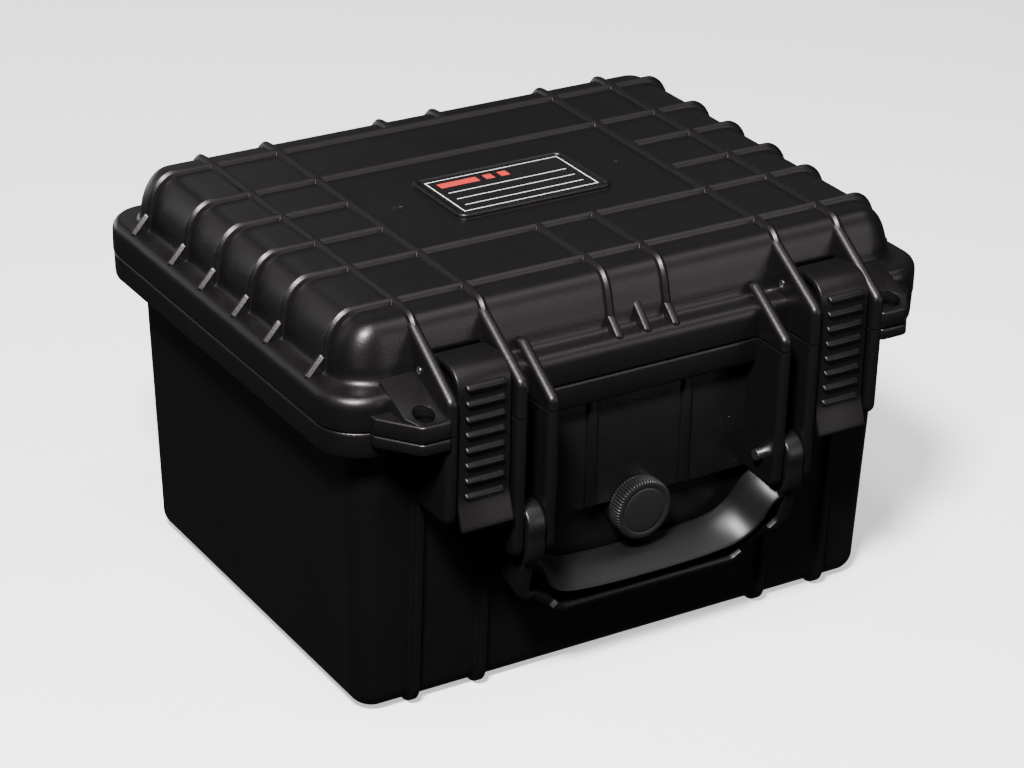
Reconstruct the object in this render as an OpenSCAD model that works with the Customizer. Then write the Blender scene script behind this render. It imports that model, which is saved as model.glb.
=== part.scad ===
// Small waterproof equipment case: ribbed lid and deep base in moulded plastic,
// two front latches, a folding front handle, a pressure valve, padlock tabs,
// two rear hinges and a foam set. Millimetres, +Z up, the front faces -Y,
// origin under the middle of the body at the level of the feet.

/* [Body] */
// Width of the closing flange
flange_w = 270; // [268:1:272]
// Depth of the closing flange
flange_d = 208; // [207:1:209]
// Wall thickness of both shells
wall = 3; // [2.8:0.1:3.2]
// Height of the lid panel over the ground
lid_top = 165.1; // [164.6:0.1:165.6]

/* [Ribs] */
// Height of the lid ribs over the panel
rib_h = 2; // [1.6:0.1:2.4]
// Width of the lid ribs
rib_w = 3.6; // [3:0.1:4]
// Thickness of the front and rear fins
fin_t = 5; // [4.6:0.1:5.2]

/* [Latches] */
// Width of a latch
latch_w = 22.7; // [21:0.1:23]
// Number of finger ridges on a latch
latch_ridges = 8; // [6:1:8]

/* [Valve] */
// Diameter of the valve knob
knob_d = 25.5; // [24.5:0.5:26.5]
// Number of grip teeth on the valve knob
knob_teeth = 60; // [40:4:60]

/* [Padlock tabs] */
// Diameter of the padlock holes
lock_d = 8.5; // [7:0.5:9]

/* [Foam] */
// Width of the plucked pocket in the base foam
pocket_w = 150; // [100:5:160]
// Depth of the plucked pocket in the base foam
pocket_d = 100; // [60:5:110]

/* [Hidden] */
$fn = 32;
eps = 0.01;
fw = flange_w/2;
fd = flange_d/2;
part_z = 129.3;              // middle of the parting gap
lid_z = part_z + 0.2;        // underside of the lid flange
rim_z = part_z - 0.2;        // top of the base rim
flange_z = 143;              // top of the lid flange
dome_x = fw - 10.5;          // lid wall, half width
dome_y = fd - 8.5;           // lid wall, half depth
base_x = fw - 12.5;          // base wall under the rim, half width
base_y = fd - 8.5;
foot_x = base_x - 3.5;       // base wall at the bottom
foot_y = base_y - 3.9;
hinge_y = 114;
hinge_z = part_z;
latch_y = -98.9;
latch_z = 147.4;
handle_y = -110;
handle_z = 81.4;
fold = 14.7;                   // lean of the folded handle
valve_z = 66.5;
rib_x = [-75.2, -41.1, -14.3, 14.3, 41.1, 75.2];
fin_a = 96;                  // outer fin of each latch
fin_b = 66.3;                // inner fin of each latch
fin_c = 52.7;                // inner fin of the handle
mid = (fin_a + fin_b)/2;     // middle of a latch
black = [0.10, 0.10, 0.105];

module corners(x, y) { for (sx = [-1, 1], sy = [-1, 1]) translate([sx*x, sy*y, 0]) children(); }

module mirrored() { children(); mirror([1, 0, 0]) children(); }

// rounded rectangle
module rr(w, d, r) {
  square([2*w - 2*r, 2*d], center = true);
  square([2*w, 2*d - 2*r], center = true);
  for (sx = [-1, 1], sy = [-1, 1]) translate([sx*(w - r), sy*(d - r)]) circle(r);
}

// block with rounded upright corners and a rounded top edge
module domed(w, d, R, r, z0, z1) {
  hull() corners(w - R, d - R)
    rotate_extrude() polygon(concat([[0, z0], [R, z0]],
      [for (a = [0:11.25:90]) [R - r + r*cos(a), z1 - r + r*sin(a)]], [[0, z1]]));
}

// drafted tub with a rounded bottom edge
module tub(wb, db, Rb, rb, z0, wt, dt, Rt, z1) {
  hull() {
    corners(wb - Rb, db - Rb)
      rotate_extrude() polygon(concat([[0, z0]],
        [for (a = [90:-11.25:0]) [Rb - rb + rb*cos(a), z0 + rb - rb*sin(a)]], [[0, z0 + rb]]));
    corners(wt - Rt, dt - Rt) translate([0, 0, z1 - 1]) cylinder(r = Rt, h = 1);
  }
}

// plate across X with its outline given in (y, z)
module plate(x, t, pts) { translate([x - t/2, 0, 0]) rotate([90, 0, 90]) linear_extrude(t) polygon(pts); }

// rod along X
module rod(x0, x1, y, z, r) { translate([x0, y, z]) rotate([0, 90, 0]) cylinder(r = r, h = x1 - x0); }

// rod along Y, towards the front
module rody(y0, y1, x, z, r) { translate([x, y1, z]) rotate([90, 0, 0]) cylinder(r = r, h = y1 - y0); }

// section of a lid rib between two stations, over a wall of half width w
module rib_outline(w, a, b) {
  r = 12 + rib_h;
  h = w + rib_h;
  difference() {
    union() {
      translate([-h, 141]) square([2*h, lid_top - 12 - 141]);
      translate([-h + r, 141]) square([2*h - 2*r, lid_top + rib_h - 141]);
      for (s = [-1, 1]) translate([s*(h - r), lid_top - 12]) circle(r);
    }
    translate([-300, 100]) square([300 + a, 100]);
    translate([b, 100]) square([300 - b, 100]);
    translate([-300, 100]) square([600, 41]);
  }
}

module slab(x, y, w, d, z0, z1) { translate([x - w/2, y - d/2, z0]) cube([w, d, z1 - z0]); }

// plan outline of a padlock tab on the right
module lock_plan() {
  polygon([[97, -94], [97, -120.3], [98.2, -121.5], [108, -121.5], [110.3, -120.4], [120.6, -107], [121.2, -104.6], [121.2, -94]]);
}

module lid_shell() color(black) {
  difference() {
    union() {
      domed(fw, fd, 18, 4, lid_z, flange_z);
      domed(dome_x, dome_y, 14, 12, 140, lid_top);
      // raised ribs over the dome
      for (y = [-75.2, -41.1, 41.1, 75.2]) translate([0, y + rib_w/2, 0]) rotate([90, 0, 0]) linear_extrude(rib_w) rib_outline(dome_x, -200, 200);
      for (s = [-1, 1], y = [-14.3, 14.3]) translate([0, y + rib_w/2, 0]) rotate([90, 0, 0]) linear_extrude(rib_w)
        rib_outline(dome_x, s < 0 ? -200 : fin_b, s < 0 ? -fin_b : 200);
      for (s = [-1, 1], x = [fin_a, fin_b]) translate([s*x - rib_w/2, 0, 0]) rotate([90, 0, 90]) linear_extrude(rib_w) rib_outline(dome_y, -200, 200);
      for (s = [-1, 1], f = [-1, 1]) translate([s*12.8 - rib_w/2, 0, 0]) rotate([90, 0, 90]) linear_extrude(rib_w)
        rib_outline(dome_y, f < 0 ? -200 : 75.2, f < 0 ? -41.1 : 200);
      // gussets where the ribs land on the flange
      for (s = [-1, 1], y = rib_x)
        translate([0, y + rib_w/2, 0]) rotate([90, 0, 0]) linear_extrude(rib_w)
          polygon([[s*120, 149.4], [s*126.4, 149.4], [s*132, 143], [s*132, 141], [s*120, 141]]);
      for (x = [-12.8, 0, 12.8], s = [-1, 1])
        plate(x, rib_w, [[s*94, 150], [s*96.6, 149.4], [s*101.9, 143.6], [s*101.9, 141], [s*94, 141]]);
      // frame around the label
      difference() {
        translate([0, 0, 163]) linear_extrude(lid_top + 1.5 - 163) rr(36.5, 21.5, 5);
        translate([0, 0, lid_top + 0.3]) linear_extrude(5) rr(33.4, 18.4, 2.5);
      }
      // front fins
      mirrored() {
        plate(fin_a, fin_t, [[-80, 160], [-87, 165], [-119.3, 143.6], [-120.4, 142.4], [-120.7, 141], [-120.7, lid_z], [-90, lid_z], [-90, 150]]);
        plate(fin_b, fin_t, [[-80, 160], [-84, 166.4], [-119.3, 144.9], [-120.4, 143.7], [-120.7, 142.3], [-120.7, lid_z], [-90, lid_z], [-90, 150]]);
        plate(fin_c, fin_t, [[-90, 152.8], [-93, 151], [-119.3, 135.1], [-120.4, 134], [-120.7, 132.8], [-120.7, lid_z], [-90, lid_z]]);
        // rear fins with the hinge eyes
        for (x = [fin_a, fin_b]) {
          plate(x, fin_t, [[80, 160], [85, 165.9], [118.4, 145], [119.8, 143.6], [120.5, 141], [120.7, 134], [hinge_y, hinge_z - 1], [106.6, lid_z], [90, lid_z], [90, 150]]);
          rod(x - fin_t/2, x + fin_t/2, hinge_y, hinge_z, 7.5);
        }
        // walls of the latch reliefs
        intersection() {
          rod(mid - 13.5, mid + 13.5, latch_y, latch_z, 9.5);
          slab(mid, -86, 27, 17, 143, 154.4);
        }
        // padlock tab
        intersection() {
          translate([0, 0, lid_z]) linear_extrude(20) lock_plan();
          union() {
            plate(104.5, 16, [[-93, 146.8], [-121.6, 135.4], [-121.6, lid_z], [-93, lid_z]]);
            slab(110, -110, 30, 30, lid_z, 136.4);
          }
        }
      }
    }
    domed(dome_x - wall, dome_y - wall, 11, 9, 128, lid_top - wall);
    // gasket groove
    translate([0, 0, lid_z - 1]) linear_extrude(9) difference() { rr(fw - 4.7, fd - 2.7, 13.3); rr(fw - 10.7, fd - 8.7, 7.3); }
    mirrored() {
      // latch reliefs
      intersection() {
        rod(mid - 12.1, mid + 12.1, latch_y, latch_z, 6.6);
        slab(mid, -100, 26, 30, 144, 160);
      }
      rod(60, 102, latch_y, latch_z, 1.55);
      rod(60, 102, hinge_y, hinge_z, 2.05);
      translate([105.3, -114.5, 120]) cylinder(d = lock_d, h = 40);
    }
    // moulding dimples beside the label
    for (s = [-1, 1]) translate([s*50.5, 1, lid_top - 0.5]) cylinder(r = 1.4, h = 3);
  }
}

// the whole base moulding; the nodes below are its front, rear, sides and floor
module base_solid() {
  difference() {
    union() {
      tub(foot_x, foot_y, 10, 8, 1, base_x, base_y, 11, rim_z);
      // rim band
      hull() corners(fw - 18.3, fd - 18.2) rotate_extrude()
        polygon([[0, 114.4], [8, 114.4], [16.8, 118.2], [17.6, 118.4], [18, 119.2], [18, rim_z], [0, rim_z]]);
      // sealing tongue
      translate([0, 0, 120]) linear_extrude(133.2 - 120) difference() { rr(fw - 6.2, fd - 4.2, 11.8); rr(fw - 9.2, fd - 7.2, 8.8); }
      // upright ribs, carried under the floor as feet
      for (s = [-1, 1], x = [fin_a, fin_b])
        plate(s*x, 4.6, concat([[-base_y - 2.9, 117]], [for (a = [0:9:90]) [-foot_y - 3 + 9 - 9*cos(a), 9 - 9*sin(a)]],
          [for (a = [90:-9:0]) [foot_y + 3 - 9 + 9*cos(a), 9 - 9*sin(a)]], [[base_y + 2.9, 117]]));
      // front panel and its ribs
      slab(0, -94, 2*fin_c, 7.6, 70.4, 119);
      mirrored() slab(21.7, -94, 4.7, 10.4, 70.4, 119);
      // valve boss
      rody(-97.4, -92, 0, valve_z, 12);
      mirrored() {
        // front fins
        plate(fin_a, fin_t, [[-90, rim_z], [-120.7, rim_z], [-120.3, 94], [-119.4, 92.2], [-117.6, 91.4], [-90, 91.4]]);
        plate(fin_b, fin_t, [[-90, rim_z], [-120.7, rim_z], [-120.2, 73.4], [-119.2, 70.8], [-116.6, 69.9], [-90, 69.9]]);
        plate(fin_c, fin_t, [[-90, rim_z], [-120.7, rim_z], [-120.2, 73.4], [-119.2, 70.8], [-116.6, 69.9], [-90, 69.9]]);
        // latch catches
        plate(mid, 14.6, [[-100, 126.4], [-105.6, 126.4], [-107.4, 124], [-107.4, 120.6], [-100, 120.6]]);
        // padlock tab
        translate([0, 0, 124.4]) linear_extrude(rim_z - 124.4) lock_plan();
        // hinge ears
        rod(fin_b + fin_t/2 + 0.35, fin_a - fin_t/2 - 0.35, hinge_y, hinge_z, 6.5);
        plate(mid, fin_a - fin_b - fin_t - 0.7, [[98, rim_z], [107, rim_z], [hinge_y, hinge_z], [hinge_y + 5.2, hinge_z - 3.8], [96, 100], [90, 100], [90, rim_z]]);
      }
    }
    tub(foot_x - wall, foot_y - wall, 7, 6, 1 + wall, base_x - wall, base_y - wall, 8, 140);
    mirrored() {
      rod(60, 102, hinge_y, hinge_z, 2.05);
      rod(44, 70, handle_y, handle_z, 2.3);
      translate([105.3, -114.5, 110]) cylinder(d = lock_d, h = 40);
    }
    // valve bore and seal groove
    rody(-100, -80, 0, valve_z, 6.1);
    translate([0, -97.4, valve_z]) rotate([90, 0, 0]) translate([0, 0, -2.1]) linear_extrude(5) difference() { circle(9.6); circle(7.2); }
  }
}

module base_front() color(black) intersection() { base_solid(); slab(0, -109, 99, 50, -5, 150); }
module base_front_left() color(black) intersection() { base_solid(); slab(-99.75, -109, 100.5, 50, -5, 150); }
module base_front_right() color(black) intersection() { base_solid(); slab(99.75, -109, 100.5, 50, -5, 150); }
module base_rear() color(black) intersection() { base_solid(); slab(0, 109, 300, 50, -5, 150); }
module base_left() color(black) intersection() { base_solid(); slab(-130, 0, 40, 168, -5, 150); }
module base_right() color(black) intersection() { base_solid(); slab(130, 0, 40, 168, -5, 150); }
module base_floor() color(black) intersection() { base_solid(); slab(0, 0, 220, 168, -5, 60); }

module lid_gasket() color([0.05, 0.05, 0.05]) {
  translate([0, 0, 133.6]) linear_extrude(3.6) difference() { rr(fw - 5, fd - 3, 13); rr(fw - 10.4, fd - 8.4, 7.6); }
}

module label_plate() color([0.07, 0.07, 0.075]) {
  translate([0, 0, lid_top + 0.35]) linear_extrude(0.8) rr(33, 18, 2.2);
}

module lid_foam() color([0.16, 0.16, 0.17]) {
  translate([0, 0, 141]) linear_extrude(17) rr(119.8, 86.4, 9);
  translate([0, 0, 158]) linear_extrude(3.4) rr(112, 83, 6);
}

module base_foam_upper() color([0.16, 0.16, 0.17]) {
  difference() {
    translate([0, 0, 70.2]) linear_extrude(52) rr(115.8, 84.6, 6);
    slab(0, 0, pocket_w, pocket_d, 60, 140);
    slab(0, -86, 30, 8, 60, 90);
  }
}

module base_foam_lower() color([0.16, 0.16, 0.17]) {
  difference() {
    translate([0, 0, 17]) linear_extrude(52.8) rr(114.2, 84.6, 6);
    slab(0, 0, pocket_w, pocket_d, 10, 140);
    slab(0, -86, 30, 8, 45, 90);
  }
}

module base_foam_pad() color([0.16, 0.16, 0.17]) {
  translate([0, 0, 4.3]) linear_extrude(12.4) rr(110, 82, 6);
}

module latch() {
  w = latch_w;
  difference() {
    union() {
      // roof, front plate and flared pull tab
      plate(mid, w, [[-95.8, 151.2], [-97, 151.8], [-102, 152.6], [-108, 153], [-112.2, 152], [-115.3, 149.8], [-117.1, 146.8], [-117.6, 143.5],
        [-117.6, 101], [-118.4, 98], [-121.2, 90], [-121.5, 88.6], [-119.4, 88.2], [-116.8, 95.6], [-114.8, 101.5],
        [-114.8, 143], [-113.9, 146], [-111, 148.9], [-107.4, 150.2], [-102, 150], [-96, 149.4]]);
      // cheeks
      for (s = [-1, 1])
        plate(mid + s*(w/2 - 2.6), 2, [[-97, 151], [-108, 152], [-112, 151], [-115, 148], [-116.5, 143], [-116.5, 100], [-114, 104], [-104.9, 116], [-104.9, 143.8], [-98.9, 144.4], [-95.9, 147]]);
      rod(mid - w/2 + 1, mid + w/2 - 1, latch_y, latch_z, 3.1);
      // claw
      plate(mid, 15.2, [[-117, 114.2], [-108, 114.8], [-105.1, 117.6], [-105.1, 120.1], [-117, 120.1]]);
      // finger ridges
      for (i = [0:latch_ridges - 1])
        plate(mid, 16.6, [[-117, 146.9 - 6.33*i], [-118.5, 146.4 - 6.33*i], [-119.1, 145.8 - 6.33*i], [-118.9, 145.2 - 6.33*i], [-117, 145 - 6.33*i]]);
    }
    rod(mid - 20, mid + 20, latch_y, latch_z, 1.55);
  }
}

module latch_right() color(black) { latch(); }
module latch_left() color(black) { mirror([1, 0, 0]) latch(); }

module latch_pins() color([0.7, 0.7, 0.72]) { mirrored() rod(63.5, 98.8, latch_y, latch_z, 1.5); }
module hinge_pins() color([0.7, 0.7, 0.72]) { mirrored() rod(63.4, 98.9, hinge_y, hinge_z, 2); }
module handle_pins() color([0.7, 0.7, 0.72]) { mirrored() rod(47.4, 69.1, handle_y, handle_z, 2.25); }

// half outline of the outer rim in (x, u), u measured down from the pivot
module handle_band() {
  polygon([[63.4, 8], [63.4, 29.6], [40.2, 45], [-40.2, 45], [-63.4, 29.6], [-63.4, 8]]);
}

module handle_inner() {
  polygon([[58.2, 7], [58.2, 28.5], [39.3, 42.9], [-39.3, 42.9], [-58.2, 28.5], [-58.2, 7]]);
}

module handle_palm(o) {
  polygon([[56.4, 14.1], [51.3, 16 + 0], [48, 22.5], [45.6, 28.1], [40.7, 32], [35, 34], [25, 35.2], [0, 36],
    [-25, 35.2], [-35, 34], [-40.7, 32], [-45.6, 28.1], [-48, 22.5], [-51.3, 16], [-56.4, 14.1],
    [-58, 15.5], [-53.6, 18.6], [-50.6, 24.6], [-47.6, 30.6], [-41.8, 34.6], [-35.5, 36.5], [-25, 37.7], [0, 38.5],
    [25, 37.7], [35.5, 36.5], [41.8, 34.6], [47.6, 30.6], [50.6, 24.6], [53.6, 18.6], [58, 15.5]]);
}

// lift a shape drawn in (x, u) into the folded handle, v0 to v1 towards the front
module leaf(v0, v1) {
  translate([0, handle_y, handle_z]) rotate([fold, 0, 0]) rotate([90, 0, 0]) translate([0, 0, v0]) linear_extrude(v1 - v0) mirror([0, 1, 0]) children();
}

module carry_handle() color(black) {
  difference() {
    union() {
      // outer rim
      leaf(-6, 11.4) difference() { handle_band(); handle_inner(); }
      // web at the back
      leaf(-6, -3) difference() {
        handle_band();
        polygon([[56.4, 5], [56.4, 15], [51.3, 17], [48, 23.5], [45.6, 29.1], [40.7, 33], [35, 35], [25, 36.2], [0, 37],
          [-25, 36.2], [-35, 35], [-40.7, 33], [-45.6, 29.1], [-48, 23.5], [-51.3, 17], [-56.4, 15], [-56.4, 5]]);
      }
      // palm plate
      leaf(-6, 11.4) handle_palm(0);
      // arms with rounded knuckles
      mirrored() {
        leaf(-5.6, 6.4) translate([55.6, 0]) square([7.8, 16]);
        translate([0, handle_y, handle_z]) rotate([fold, 0, 0]) {
          rod(55.6, 63.4, -2.9, 0.9, 8.5);
          plate(59.5, 7.8, [[5.6, 0.9], [-11.4, 0.9], [-12.4, -3], [-13.2, -7], [-13.2, -10.5], [-12.6, -12], [-11.4, -13], [-11.4, -16], [5.6, -16]]);
        }
      }
    }
    mirrored() rod(50, 66, handle_y, handle_z, 2.3);
  }
}

module valve_body() color([0.12, 0.12, 0.12]) {
  difference() {
    union() {
      rody(-99.9, -97.85, 0, valve_z, 10.4);
      rody(-99, -83.5, 0, valve_z, 6);
    }
    rody(-101, -80, 0, valve_z, 3.05);
  }
}

module valve_knob() color(black) {
  difference() {
    union() {
      rody(-104.9, -97.8, 0, valve_z, knob_d/2 - 0.6);
      // grip teeth
      for (i = [0:knob_teeth - 1]) rotate_about(i*360/knob_teeth)
        translate([-0.35, -104.2, valve_z + knob_d/2 - 1.2]) cube([0.7, 6.4, 1.2]);
    }
    rody(-102.4, -95, 0, valve_z, 10.9);
    // ring groove on the face
    translate([0, -104.3, valve_z]) rotate([90, 0, 0]) linear_extrude(2) difference() { circle(10.2); circle(9.2); }
  }
  rody(-103, -88, 0, valve_z, 3);
}

module rotate_about(a) { translate([0, 0, valve_z]) rotate([0, a, 0]) translate([0, 0, -valve_z]) children(); }

module ring(y, R, r) { translate([0, y, valve_z]) rotate([90, 0, 0]) rotate_extrude() translate([R, 0]) circle(r); }

module knob_seal() color([0.05, 0.05, 0.05]) { ring(-101.15, 4.3, 1); }
module valve_seal() color([0.05, 0.05, 0.05]) { ring(-96.4, 8.4, 0.95); }

module valve_nut() color([0.7, 0.6, 0.3]) {
  difference() {
    translate([0, -85, valve_z]) rotate([90, 0, 0]) cylinder(r = 10.4, h = 4, $fn = 6);
    rody(-95, -80, 0, valve_z, 6.05);
  }
}

module valve_washer() color([0.7, 0.7, 0.72]) {
  difference() {
    rody(-89.9, -89.1, 0, valve_z, 10.8);
    rody(-95, -80, 0, valve_z, 6.1);
  }
}

base_front();
base_front_left();
base_front_right();
base_rear();
base_left();
base_right();
base_floor();
lid_shell();
lid_gasket();
label_plate();
lid_foam();
base_foam_upper();
base_foam_lower();
base_foam_pad();
latch_left();
latch_right();
latch_pins();
hinge_pins();
carry_handle();
handle_pins();
valve_body();
valve_knob();
knob_seal();
valve_seal();
valve_nut();
valve_washer();
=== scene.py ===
import math
import bpy
import bmesh
import numpy as np
from mathutils import Matrix, Vector


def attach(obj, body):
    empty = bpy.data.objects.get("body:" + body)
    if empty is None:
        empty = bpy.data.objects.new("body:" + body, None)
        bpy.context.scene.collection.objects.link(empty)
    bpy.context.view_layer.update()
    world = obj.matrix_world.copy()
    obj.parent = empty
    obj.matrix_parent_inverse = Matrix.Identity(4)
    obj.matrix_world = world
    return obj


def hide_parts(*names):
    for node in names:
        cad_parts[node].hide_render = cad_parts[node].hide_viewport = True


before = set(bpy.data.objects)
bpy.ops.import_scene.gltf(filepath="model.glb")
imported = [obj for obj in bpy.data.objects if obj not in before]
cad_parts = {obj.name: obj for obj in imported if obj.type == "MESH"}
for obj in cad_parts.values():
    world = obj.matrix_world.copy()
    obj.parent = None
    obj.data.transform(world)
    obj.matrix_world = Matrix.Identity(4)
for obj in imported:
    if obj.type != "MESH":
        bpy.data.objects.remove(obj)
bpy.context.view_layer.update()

MM = 0.001
coll = bpy.context.scene.collection


# ---------------------------------------------------------------- camera

def make_camera():
    yaw, pitch, roll = math.radians(31.55), math.radians(26.0), math.radians(1.21)
    d = Vector((math.sin(yaw) * math.cos(pitch), math.cos(yaw) * math.cos(pitch), -math.sin(pitch)))
    r0 = Vector((math.cos(yaw), -math.sin(yaw), 0))
    u0 = r0.cross(d)
    r = r0 * math.cos(roll) + u0 * math.sin(roll)
    u = u0 * math.cos(roll) - r0 * math.sin(roll)
    cam = bpy.data.objects.new("camera", bpy.data.cameras.new("camera"))
    coll.objects.link(cam)
    m = Matrix((r, u, -d)).transposed().to_4x4()
    m.translation = Vector((-612.73, -1001.53, 649.2)) * MM
    cam.matrix_world = m
    cam.data.sensor_fit = "HORIZONTAL"
    cam.data.sensor_width = 36
    cam.data.lens = 3156.4 / 1024 * 36
    cam.data.clip_start, cam.data.clip_end = 0.05, 30
    bpy.context.scene.camera = cam


make_camera()


# ---------------------------------------------------------------- materials

class Nodes:
    def __init__(self, mat):
        self.t = mat.node_tree
        self.t.nodes.clear()

    def add(self, kind, **inputs):
        n = self.t.nodes.new(kind)
        for k, v in inputs.items():
            if k.startswith("_"):
                setattr(n, k[1:], v)
        return n

    def link(self, a, b):
        self.t.links.new(a, b)


def plastic(name, color, rough=0.42, spec=0.3, grain=900.0, bump=0.25, bump_mm=0.05, edge_highlight=0.35, blotch=0.05, tint=(1, 1, 1)):
    """Moulded plastic: fine spark-eroded grain, slow variation of gloss, and convex edges a little smoother with a
    faint painted highlight.
    """
    mat = bpy.data.materials.new(name)
    mat.use_nodes = True
    N = Nodes(mat)
    out = N.add("ShaderNodeOutputMaterial")
    b = N.add("ShaderNodeBsdfPrincipled")
    b.inputs["Specular IOR Level"].default_value = spec
    b.inputs["Specular Tint"].default_value = (*tint, 1)
    N.link(b.outputs[0], out.inputs[0])
    tc = N.add("ShaderNodeTexCoord")
    # slow variation
    n1 = N.add("ShaderNodeTexNoise")
    n1.inputs["Scale"].default_value = 26
    n1.inputs["Detail"].default_value = 4
    N.link(tc.outputs["Object"], n1.inputs["Vector"])
    # grain
    n2 = N.add("ShaderNodeTexNoise")
    n2.inputs["Scale"].default_value = grain
    n2.inputs["Detail"].default_value = 3
    n2.inputs["Roughness"].default_value = 0.6
    N.link(tc.outputs["Object"], n2.inputs["Vector"])
    # convex edges a little smoother, and a painted highlight that makes them paler
    g = N.add("ShaderNodeNewGeometry")
    er = N.add("ShaderNodeMapRange")
    er.inputs["From Min"].default_value = 0.53
    er.inputs["From Max"].default_value = 0.68
    N.link(g.outputs["Pointiness"], er.inputs["Value"])
    n3 = N.add("ShaderNodeTexNoise")
    n3.inputs["Scale"].default_value = 110
    n3.inputs["Detail"].default_value = 5
    N.link(tc.outputs["Object"], n3.inputs["Vector"])
    em = N.add("ShaderNodeMath", _operation="MULTIPLY")
    N.link(er.outputs[0], em.inputs[0])
    N.link(n3.outputs["Fac"], em.inputs[1])
    # colour
    c1 = N.add("ShaderNodeMix", _data_type="RGBA")
    c1.inputs["A"].default_value = (*[c * (1 - blotch) for c in color], 1)
    c1.inputs["B"].default_value = (*[c * (1 + blotch) for c in color], 1)
    N.link(n1.outputs["Fac"], c1.inputs["Factor"])
    # painted highlight: convex edges are mixed towards this paler colour
    c2 = N.add("ShaderNodeMix", _data_type="RGBA")
    c2.inputs["B"].default_value = (*[min(1, c * 1.9 + 0.012) for c in color], 1)
    ef = N.add("ShaderNodeMath", _operation="MULTIPLY")
    ef.inputs[1].default_value = edge_highlight
    N.link(em.outputs[0], ef.inputs[0])
    N.link(c1.outputs["Result"], c2.inputs["A"])
    N.link(ef.outputs[0], c2.inputs["Factor"])
    N.link(c2.outputs["Result"], b.inputs["Base Color"])
    # roughness
    r1 = N.add("ShaderNodeMapRange")
    r1.inputs["To Min"].default_value = rough - 0.05
    r1.inputs["To Max"].default_value = rough + 0.07
    N.link(n1.outputs["Fac"], r1.inputs["Value"])
    r2 = N.add("ShaderNodeMath", _operation="MULTIPLY_ADD")
    r2.inputs[1].default_value = -0.16
    N.link(em.outputs[0], r2.inputs[0])
    N.link(r1.outputs[0], r2.inputs[2])
    N.link(r2.outputs[0], b.inputs["Roughness"])
    # bump
    bp = N.add("ShaderNodeBump")
    bp.inputs["Strength"].default_value = bump
    bp.inputs["Distance"].default_value = bump_mm * MM
    N.link(n2.outputs["Fac"], bp.inputs["Height"])
    N.link(bp.outputs[0], b.inputs["Normal"])
    return mat


def metal(name, color, rough=0.25, scale=(300, 300, 300)):
    mat = bpy.data.materials.new(name)
    mat.use_nodes = True
    N = Nodes(mat)
    out = N.add("ShaderNodeOutputMaterial")
    b = N.add("ShaderNodeBsdfPrincipled")
    b.inputs["Metallic"].default_value = 1.0
    N.link(b.outputs[0], out.inputs[0])
    tc = N.add("ShaderNodeTexCoord")
    mp = N.add("ShaderNodeMapping")
    mp.inputs["Scale"].default_value = scale
    N.link(tc.outputs["Object"], mp.inputs["Vector"])
    n = N.add("ShaderNodeTexNoise")
    n.inputs["Scale"].default_value = 6
    n.inputs["Detail"].default_value = 4
    N.link(mp.outputs[0], n.inputs["Vector"])
    mix = N.add("ShaderNodeMix", _data_type="RGBA")
    mix.inputs["A"].default_value = (*[c * 0.82 for c in color], 1)
    mix.inputs["B"].default_value = (*color, 1)
    N.link(n.outputs["Fac"], mix.inputs["Factor"])
    N.link(mix.outputs["Result"], b.inputs["Base Color"])
    r = N.add("ShaderNodeMapRange")
    r.inputs["To Min"].default_value = rough - 0.08
    r.inputs["To Max"].default_value = rough + 0.12
    N.link(n.outputs["Fac"], r.inputs["Value"])
    N.link(r.outputs[0], b.inputs["Roughness"])
    bp = N.add("ShaderNodeBump")
    bp.inputs["Strength"].default_value = 0.15
    bp.inputs["Distance"].default_value = 0.02 * MM
    N.link(n.outputs["Fac"], bp.inputs["Height"])
    N.link(bp.outputs[0], b.inputs["Normal"])
    return mat


def foam(name, color):
    mat = bpy.data.materials.new(name)
    mat.use_nodes = True
    N = Nodes(mat)
    out = N.add("ShaderNodeOutputMaterial")
    b = N.add("ShaderNodeBsdfPrincipled")
    b.inputs["Roughness"].default_value = 0.95
    b.inputs["Specular IOR Level"].default_value = 0.15
    b.inputs["Sheen Weight"].default_value = 0.05
    b.inputs["Sheen Roughness"].default_value = 0.6
    N.link(b.outputs[0], out.inputs[0])
    tc = N.add("ShaderNodeTexCoord")
    v = N.add("ShaderNodeTexVoronoi")
    v.inputs["Scale"].default_value = 1100
    N.link(tc.outputs["Object"], v.inputs["Vector"])
    n = N.add("ShaderNodeTexNoise")
    n.inputs["Scale"].default_value = 60
    n.inputs["Detail"].default_value = 5
    N.link(tc.outputs["Object"], n.inputs["Vector"])
    # painted shade: darker at the bottom of each pore, where the bump sinks in
    c1 = N.add("ShaderNodeMix", _data_type="RGBA")
    c1.inputs["A"].default_value = (*[c * 0.55 for c in color], 1)
    c1.inputs["B"].default_value = (*[c * 1.35 for c in color], 1)
    N.link(v.outputs["Distance"], c1.inputs["Factor"])
    c2 = N.add("ShaderNodeMix", _data_type="RGBA")
    c2.inputs["B"].default_value = (*color, 1)
    N.link(n.outputs["Fac"], c2.inputs["Factor"])
    N.link(c1.outputs["Result"], c2.inputs["A"])
    N.link(c2.outputs["Result"], b.inputs["Base Color"])
    bp = N.add("ShaderNodeBump")
    bp.inputs["Strength"].default_value = 0.7
    bp.inputs["Distance"].default_value = 0.5 * MM
    N.link(v.outputs["Distance"], bp.inputs["Height"])
    N.link(bp.outputs[0], b.inputs["Normal"])
    return mat


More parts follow.
